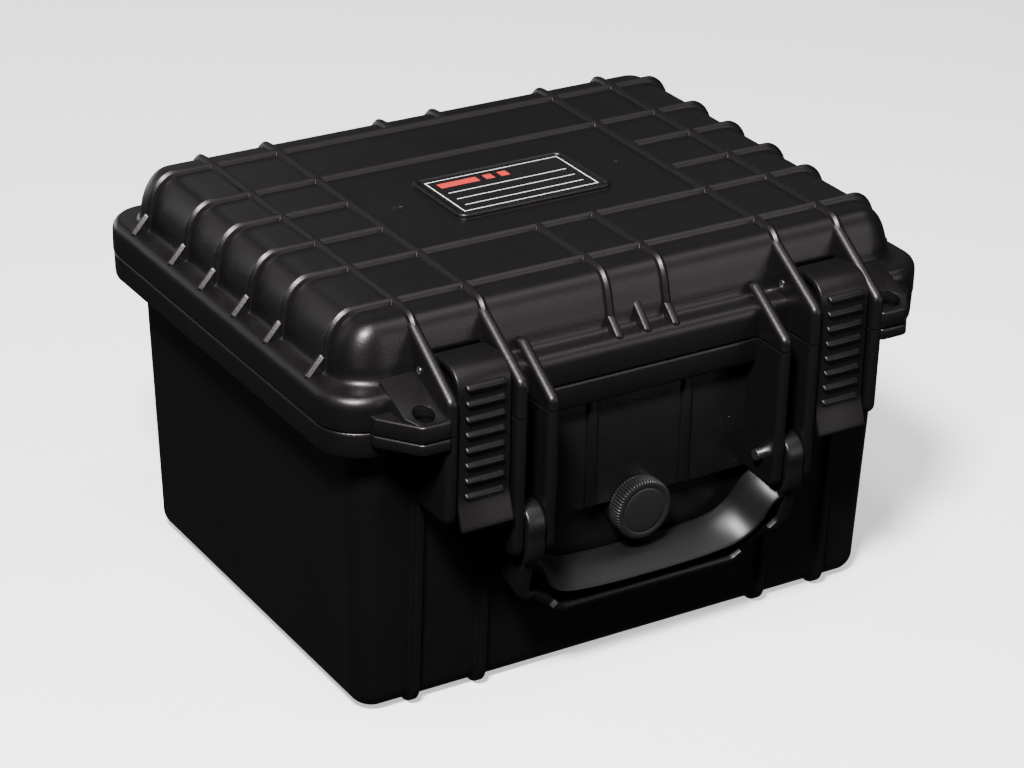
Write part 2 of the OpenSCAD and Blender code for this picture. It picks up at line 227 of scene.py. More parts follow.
M_SHELL = plastic("shell_moulded", (0.0022, 0.0020, 0.0021), rough=0.38, spec=0.38, bump=1.0, bump_mm=0.07, tint=(1.0, 0.90, 0.93))
M_LATCH = plastic("latch_moulded", (0.0024, 0.0022, 0.0023), rough=0.40, spec=0.25, bump=0.8, bump_mm=0.06, tint=(1.0, 0.89, 0.92))
M_HANDLE = plastic("handle_moulded", (0.0030, 0.0029, 0.0031), rough=0.41, spec=0.34, bump=0.4)
M_VALVE = plastic("valve_moulded", (0.0060, 0.0059, 0.0060), rough=0.46, spec=0.42, bump=0.4)
M_RUBBER = plastic("seal_rubber", (0.0070, 0.0070, 0.0070), rough=0.62, spec=0.3, grain=500, bump=0.3)


def film(name):
    """Black film with a plain write-in field: light rules, a thin border and a red bar at one end."""
    mat = bpy.data.materials.new(name)
    mat.use_nodes = True
    N = Nodes(mat)
    out = N.add("ShaderNodeOutputMaterial")
    b = N.add("ShaderNodeBsdfPrincipled")
    b.inputs["Specular IOR Level"].default_value = 0.4
    N.link(b.outputs[0], out.inputs[0])
    tc = N.add("ShaderNodeTexCoord")
    xyz = N.add("ShaderNodeSeparateXYZ")
    N.link(tc.outputs["Object"], xyz.inputs[0])

    def op(kind, a, c):
        n = N.add("ShaderNodeMath", _operation=kind)
        for i, v in enumerate((a, c)):
            if v is None:
                continue
            if isinstance(v, (int, float)):
                n.inputs[i].default_value = v
            else:
                N.link(v, n.inputs[i])
        return n.outputs[0]

    def box(cx, cy, hx, hy):
        ax = op("ABSOLUTE", op("SUBTRACT", xyz.outputs[0], cx * MM), None)
        ay = op("ABSOLUTE", op("SUBTRACT", xyz.outputs[1], cy * MM), None)
        return op("MULTIPLY", op("LESS_THAN", ax, hx * MM), op("LESS_THAN", ay, hy * MM))

    white = op("SUBTRACT", box(0, 0, 31.2, 16.2), box(0, 0, 30.7, 15.7))
    for y in (-10.4, -3.8, 2.8):
        white = op("MAXIMUM", white, box(0, y, 27.5, 0.26))
    red = op("MAXIMUM", box(-18.5, 10.6, 9.0, 2.3), op("MAXIMUM", box(-4.5, 10.6, 2.0, 2.3), box(2.5, 10.6, 2.0, 2.3)))
    n1 = N.add("ShaderNodeTexNoise")
    n1.inputs["Scale"].default_value = 700
    n1.inputs["Detail"].default_value = 3
    N.link(tc.outputs["Object"], n1.inputs["Vector"])
    c0 = N.add("ShaderNodeMix", _data_type="RGBA")
    c0.inputs["A"].default_value = (0.0028, 0.0028, 0.0030, 1)
    c0.inputs["B"].default_value = (0.0052, 0.0052, 0.0055, 1)
    N.link(n1.outputs["Fac"], c0.inputs["Factor"])
    c1 = N.add("ShaderNodeMix", _data_type="RGBA")
    c1.inputs["B"].default_value = (0.62, 0.62, 0.60, 1)
    N.link(c0.outputs["Result"], c1.inputs["A"])
    N.link(white, c1.inputs["Factor"])
    c2 = N.add("ShaderNodeMix", _data_type="RGBA")
    c2.inputs["B"].default_value = (0.42, 0.030, 0.026, 1)
    N.link(c1.outputs["Result"], c2.inputs["A"])
    N.link(red, c2.inputs["Factor"])
    N.link(c2.outputs["Result"], b.inputs["Base Color"])
    r = N.add("ShaderNodeMapRange")
    r.inputs["To Min"].default_value = 0.26
    r.inputs["To Max"].default_value = 0.40
    N.link(n1.outputs["Fac"], r.inputs["Value"])
    N.link(r.outputs[0], b.inputs["Roughness"])
    bp = N.add("ShaderNodeBump")
    bp.inputs["Strength"].default_value = 0.2
    bp.inputs["Distance"].default_value = 0.03 * MM
    N.link(n1.outputs["Fac"], bp.inputs["Height"])
    N.link(bp.outputs[0], b.inputs["Normal"])
    return mat


M_PLATE = film("plate_film")
M_STEEL = metal("pin_steel", (0.62, 0.62, 0.63), 0.26)
M_BRASS = metal("nut_brass", (0.72, 0.52, 0.22), 0.3)
M_FOAM = foam("foam_open_cell", (0.0095, 0.0095, 0.0105))


# ---------------------------------------------------------------- mesh helpers

def piece(name, V, F, body, mat, repl=(), angle=38, merge=0.002):
    """One mesh object from vertices in millimetres, riding on a body."""
    bm = bmesh.new()
    vs = [bm.verts.new((float(p[0]) * MM, float(p[1]) * MM, float(p[2]) * MM)) for p in V]
    bm.verts.ensure_lookup_table()
    for f in F:
        try:
            bm.faces.new([vs[i] for i in f])
        except ValueError:
            pass
    if merge:
        bmesh.ops.remove_doubles(bm, verts=bm.verts, dist=merge * MM)
    return finish_piece(bm, name, body, mat, repl, angle)


def finish_piece(bm, name, body, mat, repl=(), angle=38):
    bmesh.ops.recalc_face_normals(bm, faces=bm.faces)
    me = bpy.data.meshes.new(name)
    bm.to_mesh(me)
    bm.free()
    for p in me.polygons:
        p.use_smooth = True
    me.set_sharp_from_angle(angle=math.radians(angle))
    o = bpy.data.objects.new(name, me)
    coll.objects.link(o)
    me.materials.append(mat)
    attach(o, body)
    if repl:
        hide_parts(*repl)
    return o


def prism_bm(bm, pts, axis, lo, hi, bevel=0.9, seg=3, holes=(), turn=None, soft=False):
    """Bevelled solid: outline pts (two coordinates, mm) extruded along axis from lo to hi.
    holes: (u, v, radius) round holes through it."""
    t = bmesh.new()

    def at(u, v, w):
        if axis == "x":
            return (w * MM, u * MM, v * MM)
        if axis == "y":
            return (u * MM, w * MM, v * MM)
        return (u * MM, v * MM, w * MM)

    a = [t.verts.new(at(p[0], p[1], lo)) for p in pts]
    b = [t.verts.new(at(p[0], p[1], hi)) for p in pts]
    n = len(pts)
    edges_lo, edges_hi = [], []
    for i in range(n):
        j = (i + 1) % n
        t.faces.new((a[i], a[j], b[j], b[i]))
        edges_lo.append(t.edges.get((a[i], a[j])))
        edges_hi.append(t.edges.get((b[i], b[j])))
    for (hu, hv, hr) in holes:
        k = 40
        ca = [t.verts.new(at(hu + hr * math.cos(2 * math.pi * i / k), hv + hr * math.sin(2 * math.pi * i / k), lo)) for i in range(k)]
        cb = [t.verts.new(at(hu + hr * math.cos(2 * math.pi * i / k), hv + hr * math.sin(2 * math.pi * i / k), hi)) for i in range(k)]
        for i in range(k):
            j = (i + 1) % k
            t.faces.new((ca[j], ca[i], cb[i], cb[j]))
            edges_lo.append(t.edges.get((ca[i], ca[j])))
            edges_hi.append(t.edges.get((cb[i], cb[j])))
    if holes:
        bmesh.ops.triangle_fill(t, edges=edges_lo, use_beauty=True)
        bmesh.ops.triangle_fill(t, edges=edges_hi, use_beauty=True)
        bmesh.ops.recalc_face_normals(t, faces=t.faces)
        bmesh.ops.dissolve_limit(t, angle_limit=math.radians(1), verts=t.verts, edges=t.edges)
    else:
        t.faces.new(list(reversed(a)))
        t.faces.new(b)
    bmesh.ops.recalc_face_normals(t, faces=t.faces)
    if bevel:
        es = [e for e in t.edges if len(e.link_faces) == 2 and e.calc_face_angle(0) > math.radians(60 if soft else 28)]
        bmesh.ops.bevel(t, geom=es, offset=bevel * MM, offset_type="OFFSET", segments=seg, profile=0.5,
                        affect="EDGES", clamp_overlap=True)
    bmesh.ops.triangulate(t, faces=[f for f in t.faces if len(f.verts) > 4])
    if turn is not None:
        bmesh.ops.transform(t, matrix=turn, verts=t.verts)
    me = bpy.data.meshes.new("tmp")
    t.to_mesh(me)
    t.free()
    bm.from_mesh(me)
    bpy.data.meshes.remove(me)


def arc(cx, cy, r, a0, a1, n):
    return [(cx + r * math.cos(math.radians(a0 + (a1 - a0) * i / n)), cy + r * math.sin(math.radians(a0 + (a1 - a0) * i / n))) for i in range(n + 1)]


def rounded(pts, radii, n=5):
    """Outline with its corners rounded; radii holds one radius per corner."""
    out = []
    m = len(pts)
    for i in range(m):
        p = Vector(pts[i])
        r = radii[i] if isinstance(radii, (list, tuple)) else radii
        if not r:
            out.append(tuple(p))
            continue
        a, b = Vector(pts[i - 1]) - p, Vector(pts[(i + 1) % m]) - p
        la, lb = a.length, b.length
        a.normalize()
        b.normalize()
        half = math.acos(max(-1, min(1, a.dot(b)))) / 2
        t = min(r / math.tan(half), la * 0.48, lb * 0.48)
        r = t * math.tan(half)
        c = p + (a + b).normalized() * (r / math.sin(half))
        s, e = p + a * t - c, p + b * t - c
        a0 = math.atan2(s.y, s.x)
        a1 = math.atan2(e.y, e.x)
        while a1 - a0 > math.pi:
            a1 -= 2 * math.pi
        while a1 - a0 < -math.pi:
            a1 += 2 * math.pi
        for k in range(n + 1):
            q = a0 + (a1 - a0) * k / n
            out.append((c.x + r * math.cos(q), c.y + r * math.sin(q)))
    return out


def offset_curve(pts, d):
    """Open curve moved sideways by d (to its right)."""
    P = [np.array(p, float) for p in pts]
    out = []
    for i, p in enumerate(P):
        t = P[min(i + 1, len(P) - 1)] - P[max(i - 1, 0)]
        t /= np.linalg.norm(t)
        out.append(p + d * np.array([t[1], -t[0]]))
    return out


def fin(bm, corners, x0, x1, r=2.2, seg=5, n=6):
    """Plate across X whose edges are rolled over. corners: (y, z, radius, roll), where roll is None for an edge that
    is rolled over all round, or the (y, z) direction in which this corner is drawn in."""
    P = [(c[0], c[1]) for c in corners]
    pts = rounded(P, [c[2] for c in corners], n)
    own = []
    for c in corners:
        own += [c[3]] * (n + 1 if c[2] else 1)
    m = len(pts)
    area2 = sum(pts[i][0] * pts[(i + 1) % m][1] - pts[(i + 1) % m][0] * pts[i][1] for i in range(m))
    sgn = 1 if area2 > 0 else -1
    vec = []
    for i in range(m):
        if own[i] is not None:
            vec.append(np.array(own[i], float))
            continue
        p0, p1, p2 = (np.array(pts[k]) for k in (i - 1, i, (i + 1) % m))
        e1, e2 = (p1 - p0) / np.linalg.norm(p1 - p0), (p2 - p1) / np.linalg.norm(p2 - p1)
        n1, n2 = np.array([-e1[1], e1[0]]) * sgn, np.array([-e2[1], e2[0]]) * sgn
        vec.append((n1 + n2) / max(0.35, 1 + n1.dot(n2)))
    rows = []
    steps = [math.radians(90 * k / seg) for k in range(seg + 1)]
    for x, d in [(x0 + r - r * math.cos(a), r - r * math.sin(a)) for a in steps] + [(x1 - r + r * math.cos(a), r - r * math.sin(a)) for a in reversed(steps)]:
        rows.append([bm.verts.new((x * MM, (pts[i][0] + vec[i][0] * d) * MM, (pts[i][1] + vec[i][1] * d) * MM)) for i in range(m)])
    faces = []
    for a, b in zip(rows, rows[1:]):
        for i in range(m):
            j = (i + 1) % m
            faces.append(bm.faces.new((a[i], a[j], b[j], b[i])))
    caps = [bm.faces.new(rows[0]), bm.faces.new(list(reversed(rows[-1])))]
    bmesh.ops.triangulate(bm, faces=caps)


def fins(bm, corners, x0, x1, **kw):
    fin(bm, corners, x0, x1, **kw)
    fin(bm, corners, -x1, -x0, **kw)


# ---------------------------------------------------------------- ribbed shells

X0, Y0 = 109.0, 81.0
NC = 18


def stations(ribs, half, width, limit, step=6.0, extra=()):
    """Grid lines that follow the ribs closely and fill the rest evenly."""
    s = {-limit, limit}
    for r in ribs:
        for t in (width if isinstance(width, tuple) else np.linspace(0, width, 9)):
            for q in (r - t, r + t):
                if abs(q) < limit:
                    s.add(round(float(q), 4))
    s = sorted(s | set(extra))
    out = [s[0]]
    for q in s[1:]:
        if q - out[-1] < 0.07:
            continue
        gap = q - out[-1]
        n = max(1, int(math.ceil(gap / step)))
        base = out[-1]
        for k in range(1, n + 1):
            out.append(base + gap * k / n)
    out[-1] = limit
    return np.array(out)


def weight(t, a, b):
    t = np.clip((np.abs(t) - a) / (b - a), 0, 1)
    return 0.5 + 0.5 * np.cos(np.pi * t)


class Shell:
    """Rings of a rounded rectangle, lofted. Each ring is given as
    (a, b, cx, cy, zs, zf): half sizes, corner centre, height at the sides and at the front and back,
    for the plain surface and for the crest of a rib."""

    def __init__(self, xs, ys, wF, wB, wS):
        self.xs, self.ys = xs, ys
        self.V, self.F = [], []
        th = np.linspace(0, math.pi / 2, NC)
        self.W = np.concatenate([wF, np.zeros(NC), wS, np.zeros(NC), wB[::-1], np.zeros(NC), wS[::-1], np.zeros(NC)])
        self.th = th
        self.n = len(self.W)
        self.last = None

    def points(self, a, b, cx, cy, zs, zf):
        xs, ys, th = self.xs, self.ys, self.th
        rx, ry = a - cx, b - cy
        one = np.ones_like
        s, c = np.sin(th), np.cos(th)
        k = 0.5 - 0.5 * np.cos(2 * th)
        zc = zf + (zs - zf) * k
        parts = [
            np.stack([xs, -b * one(xs), zf * one(xs)], 1),
            np.stack([cx + rx * s, -(cy + ry * c), zc], 1),
            np.stack([a * one(ys), ys, zs * one(ys)], 1),
            np.stack([cx + rx * c, cy + ry * s, zc[::-1]], 1),
            np.stack([xs[::-1], b * one(xs), zf * one(xs)], 1),
            np.stack([-(cx + rx * s), cy + ry * c, zc], 1),
            np.stack([-a * one(ys), ys[::-1], zs * one(ys)], 1),
            np.stack([-(cx + rx * c), -(cy + ry * s), zc[::-1]], 1),
        ]
        return np.concatenate(parts)

    def ring(self, base, crest=None):
        p = self.points(*base)
        if crest is not None:
            q = self.points(*crest)
            w = self.W[:, None]
            p = p * (1 - w) + q * w
        start = len(self.V)
        self.V.extend(p)
        if self.last is not None:
            for i in range(self.n):
                j = (i + 1) % self.n
                self.F.append((self.last + i, self.last + j, start + j, start + i))
        self.last = start

    def cap(self, zfun):
        """Grid over the inner rectangle; zfun(x, y) gives the height."""
        xs, ys = self.xs, self.ys
        X, Y = np.meshgrid(xs, ys, indexing="ij")
        Z = zfun(X, Y)
        start = len(self.V)
        self.V.extend(np.stack([X.ravel(), Y.ravel(), Z.ravel()], 1))
        m = len(ys)
        for i in range(len(xs) - 1):
            for j in range(m - 1):
                self.F.append((start + i * m + j, start + (i + 1) * m + j, start + (i + 1) * m + j + 1, start + i * m + j + 1))


def resample(pts, n):
    P = np.array(pts, float)
    d = np.concatenate([[0], np.cumsum(np.linalg.norm(np.diff(P, axis=0), axis=1))])
    # smooth through the points with a Catmull-Rom spline
    out = []
    q = np.linspace(0, d[-1], n)
    for s in q:
        i = int(np.clip(np.searchsorted(d, s) - 1, 0, len(P) - 2))
        t = (s - d[i]) / (d[i + 1] - d[i])
        p0, p1, p2, p3 = P[max(i - 1, 0)], P[i], P[i + 1], P[min(i + 2, len(P) - 1)]
        m1 = (p2 - p0) / 2
        m2 = (p3 - p1) / 2
        h = (2 * t ** 3 - 3 * t ** 2 + 1) * p1 + (t ** 3 - 2 * t ** 2 + t) * m1 + (-2 * t ** 3 + 3 * t ** 2) * p2 + (t ** 3 - t ** 2) * m2
        out.append(h)
    return out


XR = [-96, -66.3, -12.8, 12.8, 66.3, 96]
YR = [-75.2, -41.1, -14.3, 14.3, 41.1, 75.2]
TOP, CREST = 165.1, 167.1
LID_Z, RIM_Z = 129.5, 129.1


def build_lid():
    cut = (0, 0.15, 0.3, 0.5, 0.8, 1.1, 1.36, 1.46, 1.6, 1.78, 1.92, 2.15)
    xs = stations(XR, 0, cut, X0, extra=[-93.25, -93.1, -69.2, -69.05, 69.05, 69.2, 93.1, 93.25])
    ys = stations(YR, 0, cut, Y0)

    def bead(t):
        # narrow crest, chamfered shoulders, steep flanks
        t = np.abs(t)
        top = 1 - 0.4 * np.clip((t - 0.2) / 1.25, 0, 1) ** 1.05
        side = np.clip((1.9 - t) / 0.45, 0, 1) * 0.6
        return np.where(t < 1.45, top, side * 0.95 + 0.03 * np.clip((2.1 - t) / 0.65, 0, 1))

    def wsum(q, ribs):
        return np.max([bead(q - r) for r in ribs], axis=0)

    wF = wsum(xs, XR)
    wS = wsum(ys, YR)
    sh = Shell(xs, ys, wF, wF, wS)
    wl = [wsum(xs, [r]) for r in XR]

    def zfun(X, Y):
        wy = np.zeros_like(X)
        for r in XR:
            w = bead(X - r)
            if abs(r) < 20:
                w = w * ((Y > 75.2) | (Y < -41.1))
            wy = np.maximum(wy, w)
        wx = np.zeros_like(X)
        for r in YR:
            w = bead(Y - r)
            if abs(r) < 20:
                w = w * (np.abs(X) > 66.3)
            wx = np.maximum(wx, w)
        return TOP + (CREST - TOP) * np.maximum(wx, wy)

    sh.cap(zfun)
    # crest curves measured from the rounding, then the plain skin 2 mm inside
    side = resample([(109, 167.1), (112.2, 167.05), (114.4, 166.8), (116.2, 166.3), (117.9, 165.5), (119.3, 164.5), (120.8, 163.1),
                     (122, 161.6), (123.1, 160), (124, 158.2), (124.9, 156.2), (125.6, 154.1), (126.1, 152), (126.5, 149.9)], 26)
    front = resample([(81, 167.1), (84.2, 167.1), (86.6, 166.9), (88.6, 166.2), (90.3, 165.0), (91.6, 163.4), (92.6, 161.7),
                      (93.4, 159.6), (94.1, 157.2), (94.8, 154.6), (95.4, 151.8), (96.0, 149.9)], 26)
    for c in (side, front):
        for _ in range(14):
            c[1:-1] = [(c[i - 1] + 2 * c[i] + c[i + 1]) / 4 for i in range(1, len(c) - 1)]
    side_b, front_b = offset_curve(side, 2.0), offset_curve(front, 2.0)
    # the ribs stand a little prouder round the shoulder
    lift = [0.95 * math.sin(math.pi * min(1, k / 21)) ** 0.7 if k < 21 else 0 for k in range(26)]
    side = [np.array(offset_curve(side, -lift[k])[k]) for k in range(26)]
    side = [np.array((x, min(z, CREST))) for x, z in side]
    side_b[0], front_b[0] = np.array([109, TOP]), np.array([81, TOP])
    cx, cy = 109.5, 81.5
    for k in range(26):
        s, f, sb, fb = side[k], front[k], side_b[k], front_b[k]
        if k == 0:
            sh.ring((X0, Y0, X0, Y0, TOP, TOP), (X0, Y0, X0, Y0, CREST, CREST))
            continue
        sh.ring((sb[0], fb[0], cx, cy, sb[1], fb[1]), (s[0], f[0], cx, cy, s[1], f[1]))
    # wall foot, fillet, gusset, flange top and edge: (offset from the outer edge, z) and the rib crest
    tail = [((-10.1, 147.6), (-8.9, 147.9)), ((-9.9, 145.6), (-9.0, 145.8)), ((-9.55, 144.3), (-8.9, 144.5)), ((-8.9, 143.45), (-8.5, 143.6)),
            ((-7.8, 143.1), None), ((-6.0, 143.0), None), ((-4.0, 142.95), None),
            ((-2.9, 142.85), None), ((-1.9, 142.4), None), ((-1.1, 141.7), None), ((-0.5, 140.7), None), ((-0.15, 139.6), None), ((0, 138.3), None),
            ((0, 134), None), ((0, 130.6), None), ((-0.08, 129.95), None), ((-0.3, 129.65), None), ((-0.7, 129.5), None),
            ((-2.5, 129.5), None), ((-4.4, 129.5), None), ((-4.7, 129.8), None), ((-4.7, 137.3), None), ((-5.0, 137.5), None), ((-10.4, 137.5), None),
            ((-10.7, 137.3), None), ((-10.7, 129.8), None), ((-11.0, 129.5), None), ((-12.9, 129.5), None), ((-13.3, 129.7), None), ((-13.5, 130.2), None)]
    for (d, z), cr in tail:
        k = min(1, max(0, (d + 10.1) / 6))
        kk = k if d > -10.15 else 0
        ccx, ccy = cx + (117 - cx) * kk, cy + (86 - cy) * kk
        fd = d if d > -6 else d * 0.87      # the wall is nearer the edge at the front
        base = (135 + d, 104 + (d if d > -4 else -4 + (d + 4) * (0.74 + 0.18 * min(1, max(0, (-7.8 - d) / 2.3)))), ccx, ccy, z, z)
        if d < -10.15 or z < 138 and d < -4.6:
            base = (135 + d, 104 + d + 2.0, min(ccx, 135 + d - 6), min(ccy, 106 + d - 6), z, z)
        crest = None
        if cr:
            crest = (135 + cr[0], 104 + (cr[0] if cr[0] > -4 else -4 + (cr[0] + 4) * 0.74), ccx, ccy, cr[1], cr[1])
        sh.ring(base, crest)
    sh.outer = len(sh.V)
    # inside
    for z in (140, 152):
        sh.ring((121.5, 92.5, 110.5, 81.5, z, z))
    for t in np.linspace(10, 90, 7):
        q = math.radians(t)
        r = 9
        sh.ring((121.5 - r + r * math.cos(q), 92.5 - r + r * math.sin(0) + (-r + r * math.cos(q)) + r - 0, 110.5, 81.5, 153.1 + r * math.sin(q), 153.1 + r * math.sin(q)))
    sh.ring((X0, Y0, X0, Y0, 162.1, 162.1))
    sh.cap(lambda X, Y: 162.1 + 0 * X)
    # ball-shaped corners, blended into the straight sides
    for i in range(sh.outer):
        x, y, z = sh.V[i]
        px, py = abs(x) - 109.5, abs(y) - 81.5
        if px <= 0.01 or py <= 0.01 or not 146 < z < 165.09:
            continue
        rho, phi = math.hypot(px, py), math.atan2(py, px)
        ax = np.interp(z, [p[1] for p in side_b[::-1]], [p[0] for p in side_b[::-1]]) - 109.5
        ay = np.interp(z, [p[1] for p in front_b[::-1]], [p[0] for p in front_b[::-1]]) - 81.5
        goal = 1 / math.hypot(math.cos(phi) / max(ax, 0.3), math.sin(phi) / max(ay, 0.3))
        goal *= 1 + 0.035 * math.sin(2 * phi) ** 2
        w = math.sin(2 * phi) ** 2 if z < 150.5 else 1
        k = (rho * (1 - w) + goal * w) / rho
        sh.V[i] = np.array([math.copysign(109.5 + px * k, x), math.copysign(81.5 + py * k, y), z])
    return sh


def show_shell(sh, name, body, repl):
    return piece(name, sh.V, sh.F, body, M_SHELL, repl, angle=50)


def relieve(V, outer):
    """Scoops in the wall behind each latch, so that its roof can turn."""
    for i in range(len(V)):
        x, y, z = V[i]
        if y < -80 and 69.1 < abs(x) < 93.2 and 143.2 < z < 156:
            r = 6.6 if i < outer else 9.4
            dz = z - 147.4
            if abs(dz) < r:
                V[i] = np.array([x, max(y, -98.9 + math.sqrt(r * r - dz * dz)), z])


lid = build_lid()
relieve(lid.V, lid.outer)
lid_skin = show_shell(lid, "lid_moulding", "lid", ("lid_shell",))


def build_base():
    ribs = [-96, -66.3, 66.3, 96]
    xs = stations(ribs, 0, 3.0, X0)
    ys = stations([], 0, 3.0, Y0, 9)

    def wsum(q):
        return np.max([weight(q - r, 1.2, 2.6) for r in ribs], axis=0)

    sh = Shell(xs, ys, wsum(xs), wsum(xs), np.zeros(len(ys)))
    sh.cap(lambda X, Y: 1.0 - np.max([weight(X - r, 1.2, 2.6) for r in ribs], axis=0))
    sh.ring((X0, Y0, X0, Y0, 1, 1), (X0, Y0, X0, Y0, 0, 0))
    n = 9
    for k in range(1, n + 1):
        q = math.radians(90 * k / n)
        a = 119 - 8 + 8 * math.sin(q)
        b = 91.6 - 8 + 8 * math.sin(q)
        z = 9 - 8 * math.cos(q)
        a2, b2, z2 = 119 - 6 + 9 * math.sin(q) * 0.95, 91.6 - 6 + 9 * math.sin(q), 9 - 9 * math.cos(q)
        sh.ring((a, b, 109.2, 81.6, z, z), (a2, b2, 109.2, 81.6, z2, z2))
    for z in (20, 45, 70, 95, 110, 113.2):
        t = (z - 9) / 109
        sh.ring((119 + 3.5 * t, 91.6 + 3.9 * t, 109.2 + 1.8 * t, 81.6 + 2.9 * t, z, z), (122 + 3.5 * t, 94.6 + 3.9 * t, 109.2 + 1.8 * t, 81.6 + 2.9 * t, z, z))
    prof = [(-11.3, 114.6), (-9.5, 115.4), (-3.2, 117.6), (-1.8, 118.1), (-1.1, 118.6), (-0.8, 119.4), (-0.6, 121), (-0.35, 127.8), (-0.5, 128.7), (-0.9, 129.1),
            (-4, 129.1), (-6.1, 129.1), (-6.2, 129.3), (-6.3, 132.7), (-6.7, 133.2), (-8.7, 133.2), (-9.1, 132.7), (-9.2, 129.3), (-9.4, 129.1)]
    for d, z in prof:
        k = min(1, max(0, (d + 11.3) / 8))
        dd = d + (2.6 * (1 - k) if k < 1 and z < 128 else (2 if d < -4.5 else 0))
        sh.ring((135 + d, 104 + dd, 111 + 6 * k if z < 128 or d > -4.5 else min(117, 135 + d - 9), 84.5 + 1.5 * k if z < 128 or d > -4.5 else min(86, 106 + d - 9), z, z))
    sh.ring((120.2, 93.2, 111.4, 84.4, 129.1, 129.1))
    sh.ring((119.7, 92.7, 111.4, 84.4, 128.9, 128.9))
    sh.ring((119.5, 92.5, 111.4, 84.4, 128.3, 128.3))
    for z in (100, 60, 20, 11):
        t = (128 - z) / 120
        sh.ring((119.5 - 3.5 * t, 92.5 - 3.9 * t, 111.4 - 2.2 * t, 84.4 - 2.7 * t, z, z))
    for k in range(1, 6):
        q = math.radians(90 * k / 5)
        sh.ring((116 - 6 + 6 * math.cos(q), 88.6 - 6 + 6 * math.cos(q), 109.2, 81.7, 10 - 6 * math.sin(q), 10 - 6 * math.sin(q)))
    sh.ring((X0, Y0, X0, Y0, 4, 4))
    sh.cap(lambda X, Y: 4 + 0 * X)
    return sh


base = build_base()
base_skin = show_shell(base, "base_moulding", "base", [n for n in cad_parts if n.startswith("base_") and "foam" not in n])


# ---------------------------------------------------------------- solids on the shells

PIV_Y, PIV_Z = -98.9, 147.4          # latch pivot
HIN_Y, HIN_Z = 114.0, 129.3          # lid hinge
HAN_Y, HAN_Z = -110.0, 81.4          # handle pivot
VAL_Z = 66.5
MID = 81.15


def both(bm, pts, x0, x1, **kw):
    prism_bm(bm, pts, "x", x0, x1, **kw)
    prism_bm(bm, pts, "x", -x1, -x0, **kw)


def plan(bm, pts, z0, z1, holes=(), **kw):
    prism_bm(bm, pts, "z", z0, z1, holes=holes, **kw)
    prism_bm(bm, [(-p[0], p[1]) for p in reversed(pts)], "z", z0, z1, holes=[(-h[0], h[1], h[2]) for h in holes], **kw)


